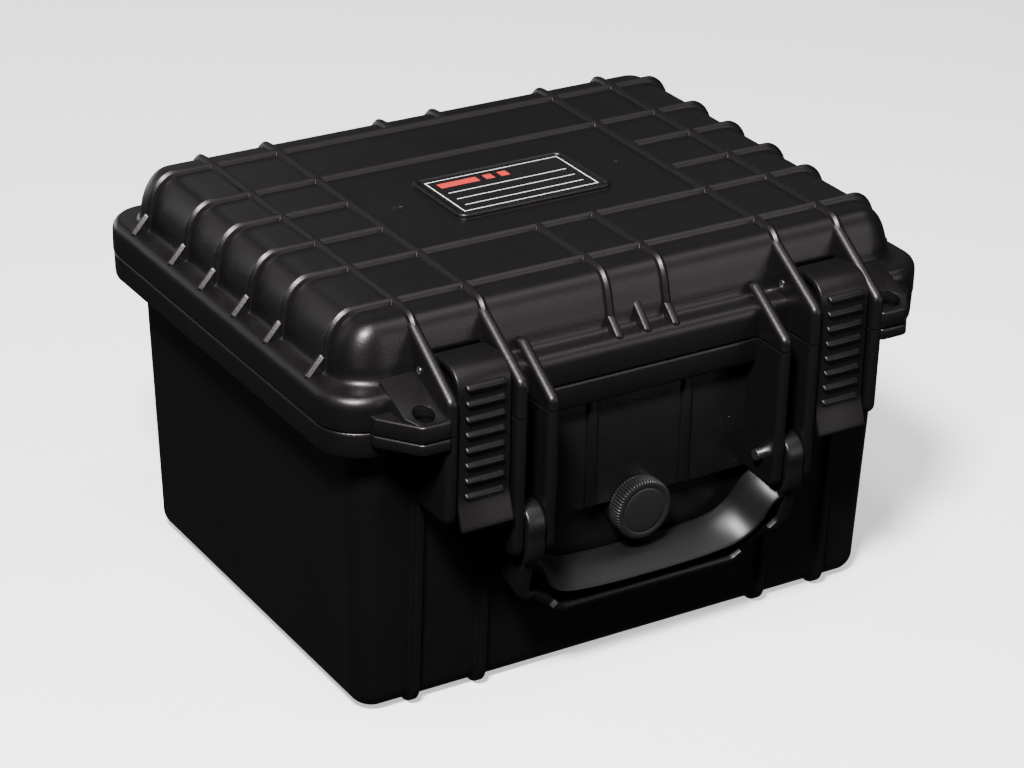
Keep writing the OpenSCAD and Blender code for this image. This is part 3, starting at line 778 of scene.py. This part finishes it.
def lid_details():
    bm = bmesh.new()
    t = 2.5
    # front fins, upper parts
    for x, top, r in ((96, [(-82, 165.2, 0, (0, 0)), (-88, 164.6, 7, None), (-120.7, 143.0, 4.2, None)], 2.3),
                      (66.3, [(-80, 166.2, 0, (0, 0)), (-86, 165.4, 7, None), (-120.7, 144.2, 4.2, None)], 2.3)):
        fins(bm, [(-84, 150, 0, (0, 0))] + top + [(-120.7, LID_Z, 0, (1, 0.14)), (-94, LID_Z, 0, (0, 0.14)), (-94, 150, 0, (0, 0))], x - t, x + t, r=r)
    fins(bm, [(-93.6, 140, 0, (0, 0)), (-93.6, 151.8, 2.8, None), (-120.7, 134.4, 3.4, None), (-120.7, LID_Z, 0, (1, 0.14)), (-96, LID_Z, 0, (0, 0.14)), (-96, 140, 0, (0, 0))],
         52.7 - t, 52.7 + t, r=2.3)
    # rear fins with hinge eyes
    eye = [(84, 150), (80, 165.4), (86, 165.2), (118.2, 145.0), (120.4, 142.6), (121.2, 139)] + arc(HIN_Y, HIN_Z, 7.5, 12, -150, 20) + [(105.9, LID_Z + 0.1), (96, LID_Z + 0.1), (96, 150)]
    both(bm, eye, 96 - t, 96 + t, bevel=1.2, seg=3, holes=[])
    both(bm, eye, 66.3 - t, 66.3 + t, bevel=1.2, seg=3)
    # gussets where the ribs land on the flange
    for f in (-1, 1):
        for x, top in ((-12.8, 149.8), (0, 151.8), (12.8, 149.8)):
            y0 = 93.4 if x == 0 else 95.2
            fin(bm, [(f * 91.5, 144, 0, (0, 0)), (f * 91.5, top + 0.2, 0, (0, 0)), (f * y0, top, 1.6, None), (f * 102.4, 143.5, 1.6, None), (f * 102.4, 141, 0, (0, 0)), (f * 92, 141, 0, (0, 0))],
                x - 1.9, x + 1.9, r=1.35, seg=2)
        side = bmesh.new()
        for y in YR:
            fin(side, [(f * 121, 144, 0, (0, 0)), (f * 121, 150.6, 0, (0, 0)), (f * 126.8, 150.6, 1.4, None), (f * 133.2, 143.2, 1.2, None), (f * 133.0, 141, 0, (0, 0)), (f * 121, 141, 0, (0, 0))],
                -y - 1.6, -y + 1.6, r=1.15, seg=1)
        bmesh.ops.transform(side, matrix=Matrix.Rotation(math.radians(-90), 4, "Z"), verts=side.verts)
        me = bpy.data.meshes.new("tmp")
        side.to_mesh(me)
        side.free()
        bm.from_mesh(me)
        bpy.data.meshes.remove(me)
    # padlock tabs
    tab = rounded([(97, -98), (97, -121.5), (109.2, -121.5), (121.2, -105.6), (121.2, -98)], [0, 1.5, 3.5, 3.0, 0], 5)
    plan(bm, tab, LID_Z, 136.3, holes=[(105.3, -114.5, 4.25)], bevel=0.8, seg=3)
    boss = rounded([(98, -95.5), (98, -121.0), (108.6, -121.0), (113.4, -114.4), (113.4, -95.5)], [0, 1.5, 2.5, 3.0, 0], 5)
    for s in (1, -1):
        q = bmesh.new()
        pts = boss if s > 0 else [(-a, b) for a, b in reversed(boss)]
        prism_bm(q, pts, "z", 134, 147, holes=[(s * 105.3, -114.5, 4.25)], bevel=0)
        # top cut to the slope of the boss
        for v in q.verts:
            if v.co.z > 0.140:
                v.co.z = (135.4 + (v.co.y / MM + 121.6) * 0.4) * MM
        es = [e for e in q.edges if len(e.link_faces) == 2 and e.calc_face_angle(0) > math.radians(28) and all(v.co.z > 0.1352 for v in e.verts)]
        bmesh.ops.bevel(q, geom=es, offset=1.1 * MM, offset_type="OFFSET", segments=3, profile=0.5, affect="EDGES", clamp_overlap=True)
        me = bpy.data.meshes.new("tmp")
        q.to_mesh(me)
        q.free()
        bm.from_mesh(me)
        bpy.data.meshes.remove(me)
    return finish_piece(bm, "lid_fins_and_tabs", "lid", M_SHELL)


def label_frame():
    prof = [(35.2, 20.2, 3.6, 164.6), (35.7, 20.7, 4.1, 165.5), (36.0, 21.0, 4.6, 166.2), (35.7, 20.7, 4.4, 166.75), (35.0, 20.0, 3.9, 166.95), (34.2, 19.2, 3.2, 166.8),
            (33.6, 18.6, 2.7, 166.3), (33.4, 18.4, 2.5, 165.6), (33.3, 18.3, 2.4, 165.2)]
    prof = [(36.6, 21.6, 5.2, 165.0), (36.5, 21.5, 5.1, 165.35)] + prof[1:]
    V, F = [], []
    for a, b, r, z in prof:
        for (qx, qy, a0) in ((1, 1, 0), (-1, 1, 90), (-1, -1, 180), (1, -1, 270)):
            for k in range(10):
                t = math.radians(a0 + 90 * k / 9)
                V.append((qx * (a - r) + r * math.cos(t), qy * (b - r) + r * math.sin(t), z))
    n = 40
    for k in range(len(prof) - 1):
        for i in range(n):
            j = (i + 1) % n
            F.append((k * n + i, k * n + j, (k + 1) * n + j, (k + 1) * n + i))
    return piece("label_frame", V, F, "lid", M_SHELL, angle=60)


def dimples():
    bm = bmesh.new()
    for s in (-1, 1):
        # shallow pip with a ring round it
        prof = [(0, 0.16), (0.55, 0.12), (0.9, -0.12), (1.15, 0.08), (1.5, 0.3), (2.1, 0.16), (3.6, 0.0)]
        rows = []
        for r, z in prof:
            rows.append([bm.verts.new(((s * 50.5 + r * math.cos(2 * math.pi * i / 24)) * MM, (1 + r * math.sin(2 * math.pi * i / 24)) * MM, (165.12 + z) * MM)) for i in range(24 if r else 1)])
        for k in range(len(rows) - 1):
            a, b = rows[k], rows[k + 1]
            for i in range(24):
                j = (i + 1) % 24
                if len(a) == 1:
                    bm.faces.new((a[0], b[i], b[j]))
                else:
                    bm.faces.new((a[i], b[i], b[j], a[j]))
    return finish_piece(bm, "lid_dimples", "lid", M_SHELL)


def base_details():
    bm = bmesh.new()
    t = 2.5
    for x, low in ((96, 91.4), (66.3, 69.9), (52.7, 69.9)):
        fins(bm, [(-94, RIM_Z, 0, (0, -0.14)), (-120.7, RIM_Z, 0, (1, -0.14)), (-120.0, low, 4.4, None), (-91, low, 0, (0, 1))], x - t, x + t, r=2.3)
    # panel between the handle fins, its two ribs and the valve boss
    prism_bm(bm, rounded([(-52, 70.4), (52, 70.4), (52, 117.6), (-52, 117.6)], [0.3, 0.3, 0.3, 0.3], 2), "y", -97.8, -92, bevel=0.9, seg=3)
    for x in (-21.7, 21.7):
        prism_bm(bm, [(x - 2.35, 70.6), (x + 2.35, 70.6), (x + 2.35, 118.4), (x - 2.35, 118.4)], "y", -99.2, -94, bevel=1.0, seg=3)
    prism_bm(bm, arc(0, VAL_Z, 12, 0, 352.5, 47), "y", -97.4, -90, bevel=0.6, seg=2)
    # latch catches
    both(bm, rounded([(-100, 126.4), (-100, 120.6), (-107.4, 120.6), (-107.4, 124), (-105.6, 126.4)], [0, 0, 0.5, 0.6, 0.8], 3), MID - 7.3, MID + 7.3, bevel=0.4, seg=2)
    # padlock tabs
    tab = rounded([(97, -98), (97, -121.5), (109.2, -121.5), (121.2, -105.6), (121.2, -98)], [0, 1.5, 3.5, 3.0, 0], 5)
    plan(bm, tab, 124.4, RIM_Z, holes=[(105.3, -114.5, 4.25)], bevel=0.7, seg=3)
    # hinge ears
    ear = arc(HIN_Y, HIN_Z, 6.5, 150, -30, 22) + [(119.2, 125.2), (98, 101), (94, 100), (94, RIM_Z - 0.2), (106, RIM_Z - 0.2)]
    both(bm, ear, 66.3 + t + 0.35, 96 - t - 0.35, bevel=0.7, seg=2)
    return finish_piece(bm, "base_fins_and_panel", "base", M_SHELL)


def ridge_bm(bm, x0, x1, z):
    """Finger ridge: a tooth with a long sloping top, rounded at its ends."""
    prof = [(-117.2, z + 1.35), (-117.75, z + 1.2), (-118.35, z + 0.75), (-118.95, z + 0.1), (-119.15, z - 0.35), (-119.05, z - 0.75), (-118.6, z - 0.95), (-117.2, z - 1.0)]
    rows = []
    for x, k in ((x0, 0.25), (x0 + 0.15, 0.62), (x0 + 0.45, 0.9), (x0 + 0.9, 1), (x1 - 0.9, 1), (x1 - 0.45, 0.9), (x1 - 0.15, 0.62), (x1, 0.25)):
        rows.append([bm.verts.new((x * MM, (-117.2 + (y + 117.2) * k) * MM, (z + (q - z) * (0.6 + 0.4 * k)) * MM)) for y, q in prof])
    for a, b in zip(rows, rows[1:]):
        for i in range(len(prof) - 1):
            bm.faces.new((a[i], a[i + 1], b[i + 1], b[i]))
    bm.faces.new(rows[0])
    bm.faces.new(list(reversed(rows[-1])))


def latch(side):
    bm = bmesh.new()
    w = 22.7 / 2
    c = side * MID
    top = resample([(-95.8, 151.2), (-97, 151.75), (-99, 152.2), (-102, 152.6), (-105.5, 152.95), (-108.5, 152.95), (-111.2, 152.35), (-113.5, 151.2), (-115.4, 149.5),
                    (-116.7, 147.4), (-117.35, 145.2), (-117.6, 142.8)], 22)
    low = resample([(-117.6, 102.5), (-117.75, 100.6), (-118.2, 98.4), (-119, 96), (-120, 93.2), (-120.95, 90.5), (-121.35, 89.3)], 10)
    under = resample([(-119.6, 88.25), (-118.4, 91.2), (-117.2, 94.4), (-116.2, 97.2), (-115.3, 99.8), (-114.8, 102.4)], 8)
    roof = resample([(-114.8, 142.9), (-114.4, 145.2), (-113.2, 147.2), (-111.2, 148.9), (-108.6, 149.9), (-105, 150.2), (-101, 149.95), (-97.2, 149.45)], 12)
    outer = [tuple(p) for p in top] + [tuple(p) for p in low] + [(-121.4, 88.75), (-121.1, 88.3), (-120.5, 88.1)] + [tuple(p) for p in under] + [tuple(p) for p in roof] + [(-96.2, 149.55), (-95.7, 150.2)]
    prism_bm(bm, outer, "x", c - w, c + w, bevel=0.7, seg=3, soft=True)
    for s in (-1, 1):
        cheek = rounded([(-97.2, 151.2), (-108, 152.1), (-112, 151), (-115.2, 148), (-116.5, 143), (-116.5, 101), (-113.6, 103.8), (-104.9, 116), (-104.9, 143.6), (-98.9, 144.3), (-96.1, 147)],
                        [0.6, 2, 2, 2, 2, 1, 1.5, 3, 1.5, 1.8, 1.2], 4)
        a, b = (w - 3.6, w - 1.6) if s > 0 else (-w + 1.6, -w + 3.6)
        prism_bm(bm, cheek, "x", c + a, c + b, bevel=0.4, seg=2)
    # eyes round the pin, standing off the cheeks
    prism_bm(bm, arc(PIV_Y, PIV_Z, 3.1, 0, 348.75, 31), "x", c - w + 1, c + w - 1, bevel=0.3, seg=2)
    prism_bm(bm, rounded([(-117, 114.2), (-108, 114.8), (-105.1, 117.6), (-105.1, 120.1), (-117, 120.1)], [0, 1, 0.6, 0.6, 0], 3), "x", c - 7.5, c + 7.5, bevel=0.4, seg=2)
    # stiffening web down the back of the plate
    prism_bm(bm, [(-115.2, 104), (-113.2, 105.5), (-113.2, 113.5), (-115.2, 113.5)], "x", c - 0.8, c + 0.8, bevel=0.3, seg=2)
    prism_bm(bm, [(-115.2, 121), (-113.4, 122), (-113.4, 141), (-115.2, 143)], "x", c - 0.8, c + 0.8, bevel=0.3, seg=2)
    for i in range(8):
        ridge_bm(bm, c - 8.35, c + 8.35, 145.75 - 6.33 * i)
    name = "latch_left" if side < 0 else "latch_right"
    return finish_piece(bm, name + "_moulding", name, M_LATCH, (name,), angle=50)


def sweep(bm, path, section, turn, caps=True):
    """Closed section swept along an open path in (x, u); section(k, s) gives (offset, v) pairs."""
    P = [np.array(p, float) for p in path]
    n = len(P)
    rows = []
    for i in range(n):
        t = P[min(i + 1, n - 1)] - P[max(i - 1, 0)]
        t /= np.linalg.norm(t)
        nor = np.array([t[1], -t[0]])
        row = []
        for o, v in section(i / (n - 1)):
            q = P[i] + nor * o
            row.append(bm.verts.new(turn @ (Vector((q[0], -v, -q[1])) * MM)))
        rows.append(row)
    m = len(rows[0])
    for a, b in zip(rows, rows[1:]):
        for i in range(m):
            j = (i + 1) % m
            bm.faces.new((a[i], a[j], b[j], b[i]))
    if caps:
        bm.faces.new(rows[0])
        bm.faces.new(list(reversed(rows[-1])))


def handle():
    bm = bmesh.new()
    turn = Matrix.Translation(Vector((0, HAN_Y, HAN_Z)) * MM) @ Matrix.Rotation(math.radians(14.7), 4, "X")

    def leaf(pts, v0, v1, **kw):
        prism_bm(bm, [(x, -u) for x, u in pts], "y", -v1, -v0, turn=turn, **kw)

    # outer rim: thick sides, a thin bottom, with the front edge cut back on the slanted corners
    def rim(s):
        # (offset inwards, v)
        return s

    out = [(63.4, 10), (63.4, 28.2), (62.9, 29.6), (61.8, 30.8), (41.8, 44.1), (40.9, 44.7), (39.6, 45)]
    inn = [(58.2, 10), (58.2, 27.4), (57.8, 28.6), (57.0, 29.4), (40.4, 41.9), (39.6, 42.6), (38.6, 42.9)]
    out = out + [(-x, u) for x, u in reversed(out)]
    inn = inn + [(-x, u) for x, u in reversed(inn)]
    front = [11.4, 11.4, 11.4, 11.2, 11.2, 11.4, 11.4] * 2
    rows = []
    po, pi, vf = [], [], []
    for k in range(len(out)):
        po.append(out[k])
        pi.append(inn[k])
        vf.append(11.4)
        if k in (3, 9):
            # the cut-back stretch of the slanted corner
            for f, v in ((0.16, 11.4), (0.18, 9.2), (0.84, 9.2), (0.86, 11.4)):
                po.append(tuple(np.array(out[k]) * (1 - f) + np.array(out[k + 1]) * f))
                pi.append(tuple(np.array(inn[k]) * (1 - f) + np.array(inn[k + 1]) * f))
                vf.append(v)
    b = 0.38
    for (xo, uo), (xi, ui), v in zip(po, pi, vf):
        o, i = np.array([xo, uo]), np.array([xi, ui])
        d = (i - o) / np.linalg.norm(i - o)
        ring = []
        for q, vv in ((o, -6 + b), (o + d * b * 0.3, -6 + b * 0.3), (o + d * b, -6), (i - d * b, -6), (i - d * b * 0.3, -6 + b * 0.3), (i, -6 + b),
                      (i, v - b), (i - d * b * 0.3, v - b * 0.3), (i - d * b, v), (o + d * b, v), (o + d * b * 0.3, v - b * 0.3), (o, v - b)):
            ring.append(bm.verts.new(turn @ (Vector((q[0], -vv, -q[1])) * MM)))
        rows.append(ring)
    for a, c in zip(rows, rows[1:]):
        for i in range(12):
            j = (i + 1) % 12
            bm.faces.new((a[i], a[j], c[j], c[i]))
    bm.faces.new(rows[0])
    bm.faces.new(list(reversed(rows[-1])))
    # palm plate with a lip standing up along its back edge
    half = [(56.8, 12.9), (55.2, 13.6), (53.4, 14.8), (51.6, 16.6), (50.1, 18.9), (48.9, 21.4), (47.7, 24), (46.4, 26.6), (44.7, 28.8), (42.5, 30.7), (39.6, 32.4), (35.6, 33.8), (30, 34.8), (22, 35.5), (11, 35.9)]
    path = resample(half + [(0, 36)] + [(-x, u) for x, u in reversed(half)], 91)

    def section(s):
        e = abs(2 * s - 1)                       # 0 in the middle, 1 at the ends
        t = 2.9 + 1.9 * math.exp(-((e - 0.62) / 0.2) ** 2)
        t *= min(1, (1 - e) / 0.14)
        t = max(0.05, t)
        up = min(1, max(0, (e - 0.45) / 0.25))
        up = up * up * (3 - 2 * up)

        def top(v):
            return 1.8 + 0.9 * up - (2.5 + 2.0 * up) * max(0, (v + 2) / 12.6) ** 1.6

        f = top(10.6)
        g = [(-t, -5.5), (-t + 0.15, -5.85), (-t + 0.5, -6.0), (top(-5) - 0.8, -6.0), (top(-5) - 0.25, -5.8)]
        g += [(top(v), float(v)) for v in np.linspace(-5.3, 10.6, 16)]
        g += [(f - 0.3, 11.0), (f - 0.75, 11.2), (f - 1.2, 11.05)] + [(top(v) - 1.5, float(v)) for v in np.linspace(10.2, -2.8, 10)]
        g += [(-t + 0.3, -3.4), (-t + 0.08, -3.7), (-t, -4.1)]
        return [(-o, v) for o, v in g]

    sweep(bm, path, section, turn)
    # web that closes the channel at the back, in four plain strips
    low = [(x, u + 1.6) for x, u in [tuple(p) for p in path]]
    for s in (1, -1):
        a = [(s * 62.6, 9), (s * 62.6, 29.0), (s * 56.4, 33.6), (s * 50.6, 22.0), (s * 53.4, 17.0), (s * 57.4, 14.2), (s * 57.4, 9)]
        c = [(s * 56.4, 33.6), (s * 40.2, 44.4), (s * 36, 44.4), (s * 36, 35.5), (s * 44.6, 31.5), (s * 50.6, 22.0)]
        for q in (a, c):
            leaf(q if s < 0 else list(reversed(q)), -5.9, -3, bevel=0)
    leaf([(36, 35.4), (0, 37.6), (-36, 35.4), (-36, 44.4), (36, 44.4)], -5.9, -3, bevel=0)
    # arms with rounded knuckles
    for s in (-1, 1):
        prof = [(5.6, -16.5), (5.6, -6), (5.6, 0.9)] + arc(-2.9, 0.9, 8.5, 12, 180, 15) + [(-11.7, -1), (-12.3, -3), (-12.9, -5.4), (-13.2, -7.4), (-13.25, -9.6), (-13.0, -11), (-12.4, -12), (-11.6, -12.8), (-11.4, -13.8), (-11.4, -16.5)]
        x0, x1 = (55.6, 63.4) if s > 0 else (-63.4, -55.6)
        prism_bm(bm, prof, "x", x0, x1, bevel=1.3, seg=4, turn=turn)
    return finish_piece(bm, "carry_handle_moulding", "handle", M_HANDLE, ("carry_handle",))


def knob():
    teeth, per = 60, 8
    n = teeth * per
    # (radius, y, how far the teeth show)
    prof = [(0, -104.86, 0), (3, -104.84, 0), (6, -104.78, 0), (8.7, -104.68, 0), (9.0, -104.62, 0), (9.25, -104.42, 0), (9.55, -104.38, 0), (9.85, -104.5, 0), (10.1, -104.62, 0),
            (11.0, -104.6, 0), (11.7, -104.56, 0), (11.95, -104.5, 0.3), (12.2, -104.35, 0.85), (12.45, -104.1, 1), (12.62, -103.7, 1), (12.7, -100.5, 1), (12.7, -98.4, 1), (12.5, -98.0, 0.8), (12.1, -97.8, 0),
            (11.2, -97.8, 0), (10.95, -98.1, 0), (10.9, -102.3, 0), (10.6, -102.4, 0), (3.2, -102.4, 0), (3.0, -102.2, 0), (3.0, -88.2, 0), (2.8, -88, 0), (0, -88, 0)]
    V, F = [], []
    for r, y, k in prof:
        for i in range(n):
            ph = (i % per) / per
            tooth = 0.5 + 0.5 * math.cos(2 * math.pi * ph)
            rr = r - k * 0.95 * (1 - tooth ** 0.65) if r > 0 else 0
            a = 2 * math.pi * i / n
            V.append((rr * math.cos(a), y, VAL_Z + rr * math.sin(a)))
    for k in range(len(prof) - 1):
        for i in range(n):
            j = (i + 1) % n
            F.append((k * n + i, (k + 1) * n + i, (k + 1) * n + j, k * n + j))
    return piece("valve_knob_moulding", V, F, "valve", M_VALVE, ("valve_knob",), angle=50)


def inset_rect(x, y, hx, hy, r):
    """Point of a plain rectangle drawn in to the same rectangle with rounded corners."""
    qx, qy = abs(x) - (hx - r), abs(y) - (hy - r)
    if qx > 0 and qy > 0:
        m = max(qx, qy)
        d = math.hypot(qx, qy)
        qx, qy = qx * m / d, qy * m / d
        return math.copysign(hx - r + qx, x), math.copysign(hy - r + qy, y)
    return x, y


def rng(i, j, k=0):
    v = math.sin(i * 12.9898 + j * 78.233 + k * 37.719) * 43758.5453
    return v - math.floor(v)


def egg_crate():
    """Convoluted lid foam: rounded peaks and hollows on a flat back."""
    hx, hy = 119.6, 86.2
    nx, ny = 144, 104
    V, F = [], []
    for j in range(ny + 1):
        for i in range(nx + 1):
            x, y = -hx + 2 * hx * i / nx, -hy + 2 * hy * j / ny
            e = min(1, min(hx - abs(x), hy - abs(y)) / 4)
            c = math.cos(2 * math.pi * x / 26.6) * math.cos(2 * math.pi * y / 24.6)
            z = 147.6 - 6.2 * math.copysign(abs(c) ** 0.85, c) * (0.35 + 0.65 * e) + 0.25 * math.sin(x * 0.9 + y * 0.5) * math.sin(y * 0.8)
            z += 1.6 * (1 - e) ** 2
            V.append((*inset_rect(x, y, hx, hy, 9), z))
    m = nx + 1
    for j in range(ny):
        for i in range(nx):
            F.append((j * m + i, j * m + i + 1, (j + 1) * m + i + 1, (j + 1) * m + i))
    rim = [i for i in range(nx + 1)] + [j * m + nx for j in range(1, ny + 1)] + [ny * m + i for i in range(nx - 1, -1, -1)] + [j * m for j in range(ny - 1, 0, -1)]
    prev = rim
    for z, k in ((155, 1.0), (157.4, 0.996), (159.6, 0.97), (161.0, 0.945), (161.3, 0.93)):
        row = []
        for q in rim:
            V.append((V[q][0] * k, V[q][1] * k, z))
            row.append(len(V) - 1)
        for a in range(len(rim)):
            b = (a + 1) % len(rim)
            F.append((prev[a], row[a], row[b], prev[b]))
        prev = row
    F.append(tuple(prev))
    o = piece("lid_foam_convoluted", V, F, "lid", M_FOAM, ("lid_foam",), angle=70)


def cube_foam(name, node, hx, hy, z0, z1, notch, seed):
    """Pick-and-pluck layer: scored cubes of foam with the middle plucked out."""
    xs = [-hx, -hx + (hx - 75) / 3, -hx + (hx - 75) * 2 / 3] + [-75 + 12.5 * k for k in range(13)] + [hx - (hx - 75) * 2 / 3, hx - (hx - 75) / 3, hx]
    ys = [-hy, -hy + (hy - 50) / 3, -hy + (hy - 50) * 2 / 3] + [-50 + 12.5 * k for k in range(9)] + [hy - (hy - 50) * 2 / 3, hy - (hy - 50) / 3, hy]
    bm = bmesh.new()
    for i in range(len(xs) - 1):
        for j in range(len(ys) - 1):
            ax, bx, ay, by = xs[i], xs[i + 1], ys[j], ys[j + 1]
            if ax > -75.1 and bx < 75.1 and ay > -50.1 and by < 50.1:
                continue
            if notch and j == 0 and ax > -26 and bx < 26:
                ay = -81.6
            g = 0.12
            ax, bx, ay, by = ax + (g if i else 0), bx - (g if i < len(xs) - 2 else 0), ay + (g if j else 0), by - (g if j < len(ys) - 2 else 0)
            h = z1 - 0.05 - 0.9 * rng(i, j, seed)
            cx, cy = (ax + bx) / 2, (ay + by) / 2
            rows = []
            for z, d in ((z0 + 0.02, 0.5), (z0 + 0.6, 0.05), ((z0 + h) / 2, 0.25), (h - 1.2, 0.02), (h - 0.45, 0.22), (h - 0.1, 0.75), (h, 1.6)):
                q = []
                for (sx, sy) in ((-1, -1), (0, -1), (1, -1), (1, 0), (1, 1), (0, 1), (-1, 1), (-1, 0)):
                    ex, ey = (bx - ax) / 2 - d, (by - ay) / 2 - d
                    k = 0.97 if sx and sy else 1
                    px, py = cx + sx * ex * k, cy + sy * ey * k
                    px, py = inset_rect(px, py, hx, hy, 6)
                    q.append(bm.verts.new((px * MM, py * MM, z * MM)))
                rows.append(q)
            for a, b in zip(rows, rows[1:]):
                for k in range(8):
                    m = (k + 1) % 8
                    bm.faces.new((a[k], a[m], b[m], b[k]))
            top = bm.verts.new((cx * MM, cy * MM, (h + 0.03) * MM))
            low = bm.verts.new((cx * MM, cy * MM, (z0 + 0.02) * MM))
            for k in range(8):
                m = (k + 1) % 8
                bm.faces.new((rows[-1][k], rows[-1][m], top))
                bm.faces.new((rows[0][m], rows[0][k], low))
    o = finish_piece(bm, name, "base", M_FOAM, (node,), angle=40)


def foam_pad():
    hx, hy = 109.8, 81.8
    nx, ny = 60, 44
    V, F = [], []
    for j in range(ny + 1):
        for i in range(nx + 1):
            x, y = -hx + 2 * hx * i / nx, -hy + 2 * hy * j / ny
            e = min(1, min(hx - abs(x), hy - abs(y)) / 3)
            z = 16.6 - 1.3 * (1 - e) ** 2 - 0.25 * (0.5 + 0.5 * math.sin(x * 0.21 + 1.1 * math.sin(y * 0.09))) - 0.1 * rng(i, j, 5)
            V.append((*inset_rect(x, y, hx, hy, 6), z))
    m = nx + 1
    for j in range(ny):
        for i in range(nx):
            F.append((j * m + i, j * m + i + 1, (j + 1) * m + i + 1, (j + 1) * m + i))
    rim = [i for i in range(nx + 1)] + [j * m + nx for j in range(1, ny + 1)] + [ny * m + i for i in range(nx - 1, -1, -1)] + [j * m for j in range(ny - 1, 0, -1)]
    prev = rim
    for z, k in ((11, 1.0), (5.2, 0.999), (4.45, 0.993)):
        row = []
        for q in rim:
            V.append((V[q][0] * k, V[q][1] * k, z))
            row.append(len(V) - 1)
        for a in range(len(rim)):
            b = (a + 1) % len(rim)
            F.append((prev[a], row[a], row[b], prev[b]))
        prev = row
    F.append(tuple(prev))
    o = piece("base_foam_pad_sheet", V, F, "base", M_FOAM, ("base_foam_pad",), angle=50)


egg_crate()
cube_foam("base_foam_upper_cubes", "base_foam_upper", 115.6, 84.4, 70.3, 122.2, True, 1)
cube_foam("base_foam_lower_cubes", "base_foam_lower", 114.0, 84.4, 17.1, 69.7, True, 2)
foam_pad()
lid_details()
label_frame()
dimples()
base_details()
latch(-1)
latch(1)
handle()
knob()

for n, m in (("lid_gasket", M_RUBBER), ("knob_seal", M_RUBBER), ("valve_seal", M_RUBBER), ("latch_pins", M_STEEL), ("hinge_pins", M_STEEL),
             ("handle_pins", M_STEEL), ("valve_washer", M_STEEL), ("valve_nut", M_BRASS), ("valve_body", M_VALVE), ("label_plate", M_PLATE)):
    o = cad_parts[n]
    for i in range(max(1, len(o.material_slots))):
        if len(o.material_slots) == 0:
            o.data.materials.append(m)
        else:
            o.material_slots[i].material = m

# ---------------------------------------------------------------- floor, light

def floor():
    """Pale studio floor that rises into a wall all round."""
    bm = bmesh.new()
    prof = [(0.25 * k, 0.0) for k in range(0, 11)] + [(2.5 + 1.5 * math.sin(math.radians(a)), 1.5 - 1.5 * math.cos(math.radians(a))) for a in range(10, 91, 10)] + [(4.0, 2.5), (4.0, 4.0)]
    n = 64
    rows = []
    for r, z in prof:
        rows.append([bm.verts.new((r * math.cos(2 * math.pi * i / n), r * math.sin(2 * math.pi * i / n), z)) for i in range(n if r else 1)])
    for a, b in zip(rows, rows[1:]):
        for i in range(n):
            j = (i + 1) % n
            bm.faces.new((a[0], b[i], b[j]) if len(a) == 1 else (a[i], b[i], b[j], a[j]))
    me = bpy.data.meshes.new("floor")
    bm.to_mesh(me)
    bm.free()
    for q in me.polygons:
        q.use_smooth = True
    o = bpy.data.objects.new("floor", me)
    coll.objects.link(o)
    mat = bpy.data.materials.new("pale_floor")
    mat.use_nodes = True
    b = mat.node_tree.nodes["Principled BSDF"]
    b.inputs["Base Color"].default_value = (0.9, 0.9, 0.9, 1)
    b.inputs["Roughness"].default_value = 0.9
    b.inputs["Specular IOR Level"].default_value = 0.1
    b.inputs["Emission Color"].default_value = (1, 1, 1, 1)
    b.inputs["Emission Strength"].default_value = 0.7
    me.materials.append(mat)
    o.visible_glossy = False
    o.visible_diffuse = False
    o.visible_shadow = False


floor()


def area(name, loc, target, size, energy, color=(1, 1, 1)):
    l = bpy.data.lights.new(name, "AREA")
    l.shape = "RECTANGLE"
    l.size, l.size_y = size
    l.energy = energy
    l.color = color
    o = bpy.data.objects.new(name, l)
    coll.objects.link(o)
    o.location = loc
    o.rotation_mode = "QUATERNION"
    o.rotation_quaternion = (Vector(target) - Vector(loc)).to_track_quat("-Z", "Y")


area("key", (-0.64, -0.69, 1.20), (0, 0, 0.1), (0.25, 0.25), 82)
area("top", (-0.20, -0.26, 1.42), (0, 0, 0.1), (0.30, 0.22), 8)
area("front_low", (0.66, -1.12, 0.36), (0, 0, 0.12), (0.5, 0.56), 3.45)
area("front_high", (0.64, -0.74, 1.05), (0, 0, 0.1), (0.5, 0.5), 0.75)
area("overhead", (0.66, -0.32, 1.33), (0, 0, 0.1), (0.7, 0.55), 3.2)
area("back_mid", (0.34, 1.30, 0.80), (0, 0, 0.1), (0.36, 0.5), 0.36)
area("back_right", (1.02, 1.15, 0.76), (0, 0, 0.1), (0.5, 0.6), 0.12)
area("back_fill", (-0.25, 1.45, 0.14), (0, 0, 0.07), (0.9, 0.22), 3)
area("left_back", (-0.70, 1.02, 0.72), (0, 0, 0.1), (1.1, 0.9), 2.2)

world = bpy.data.worlds.new("studio")
bpy.context.scene.world = world
world.use_nodes = True
world.node_tree.nodes["Background"].inputs["Color"].default_value = (1.0, 0.94, 0.95, 1)
world.node_tree.nodes["Background"].inputs["Strength"].default_value = 0.042
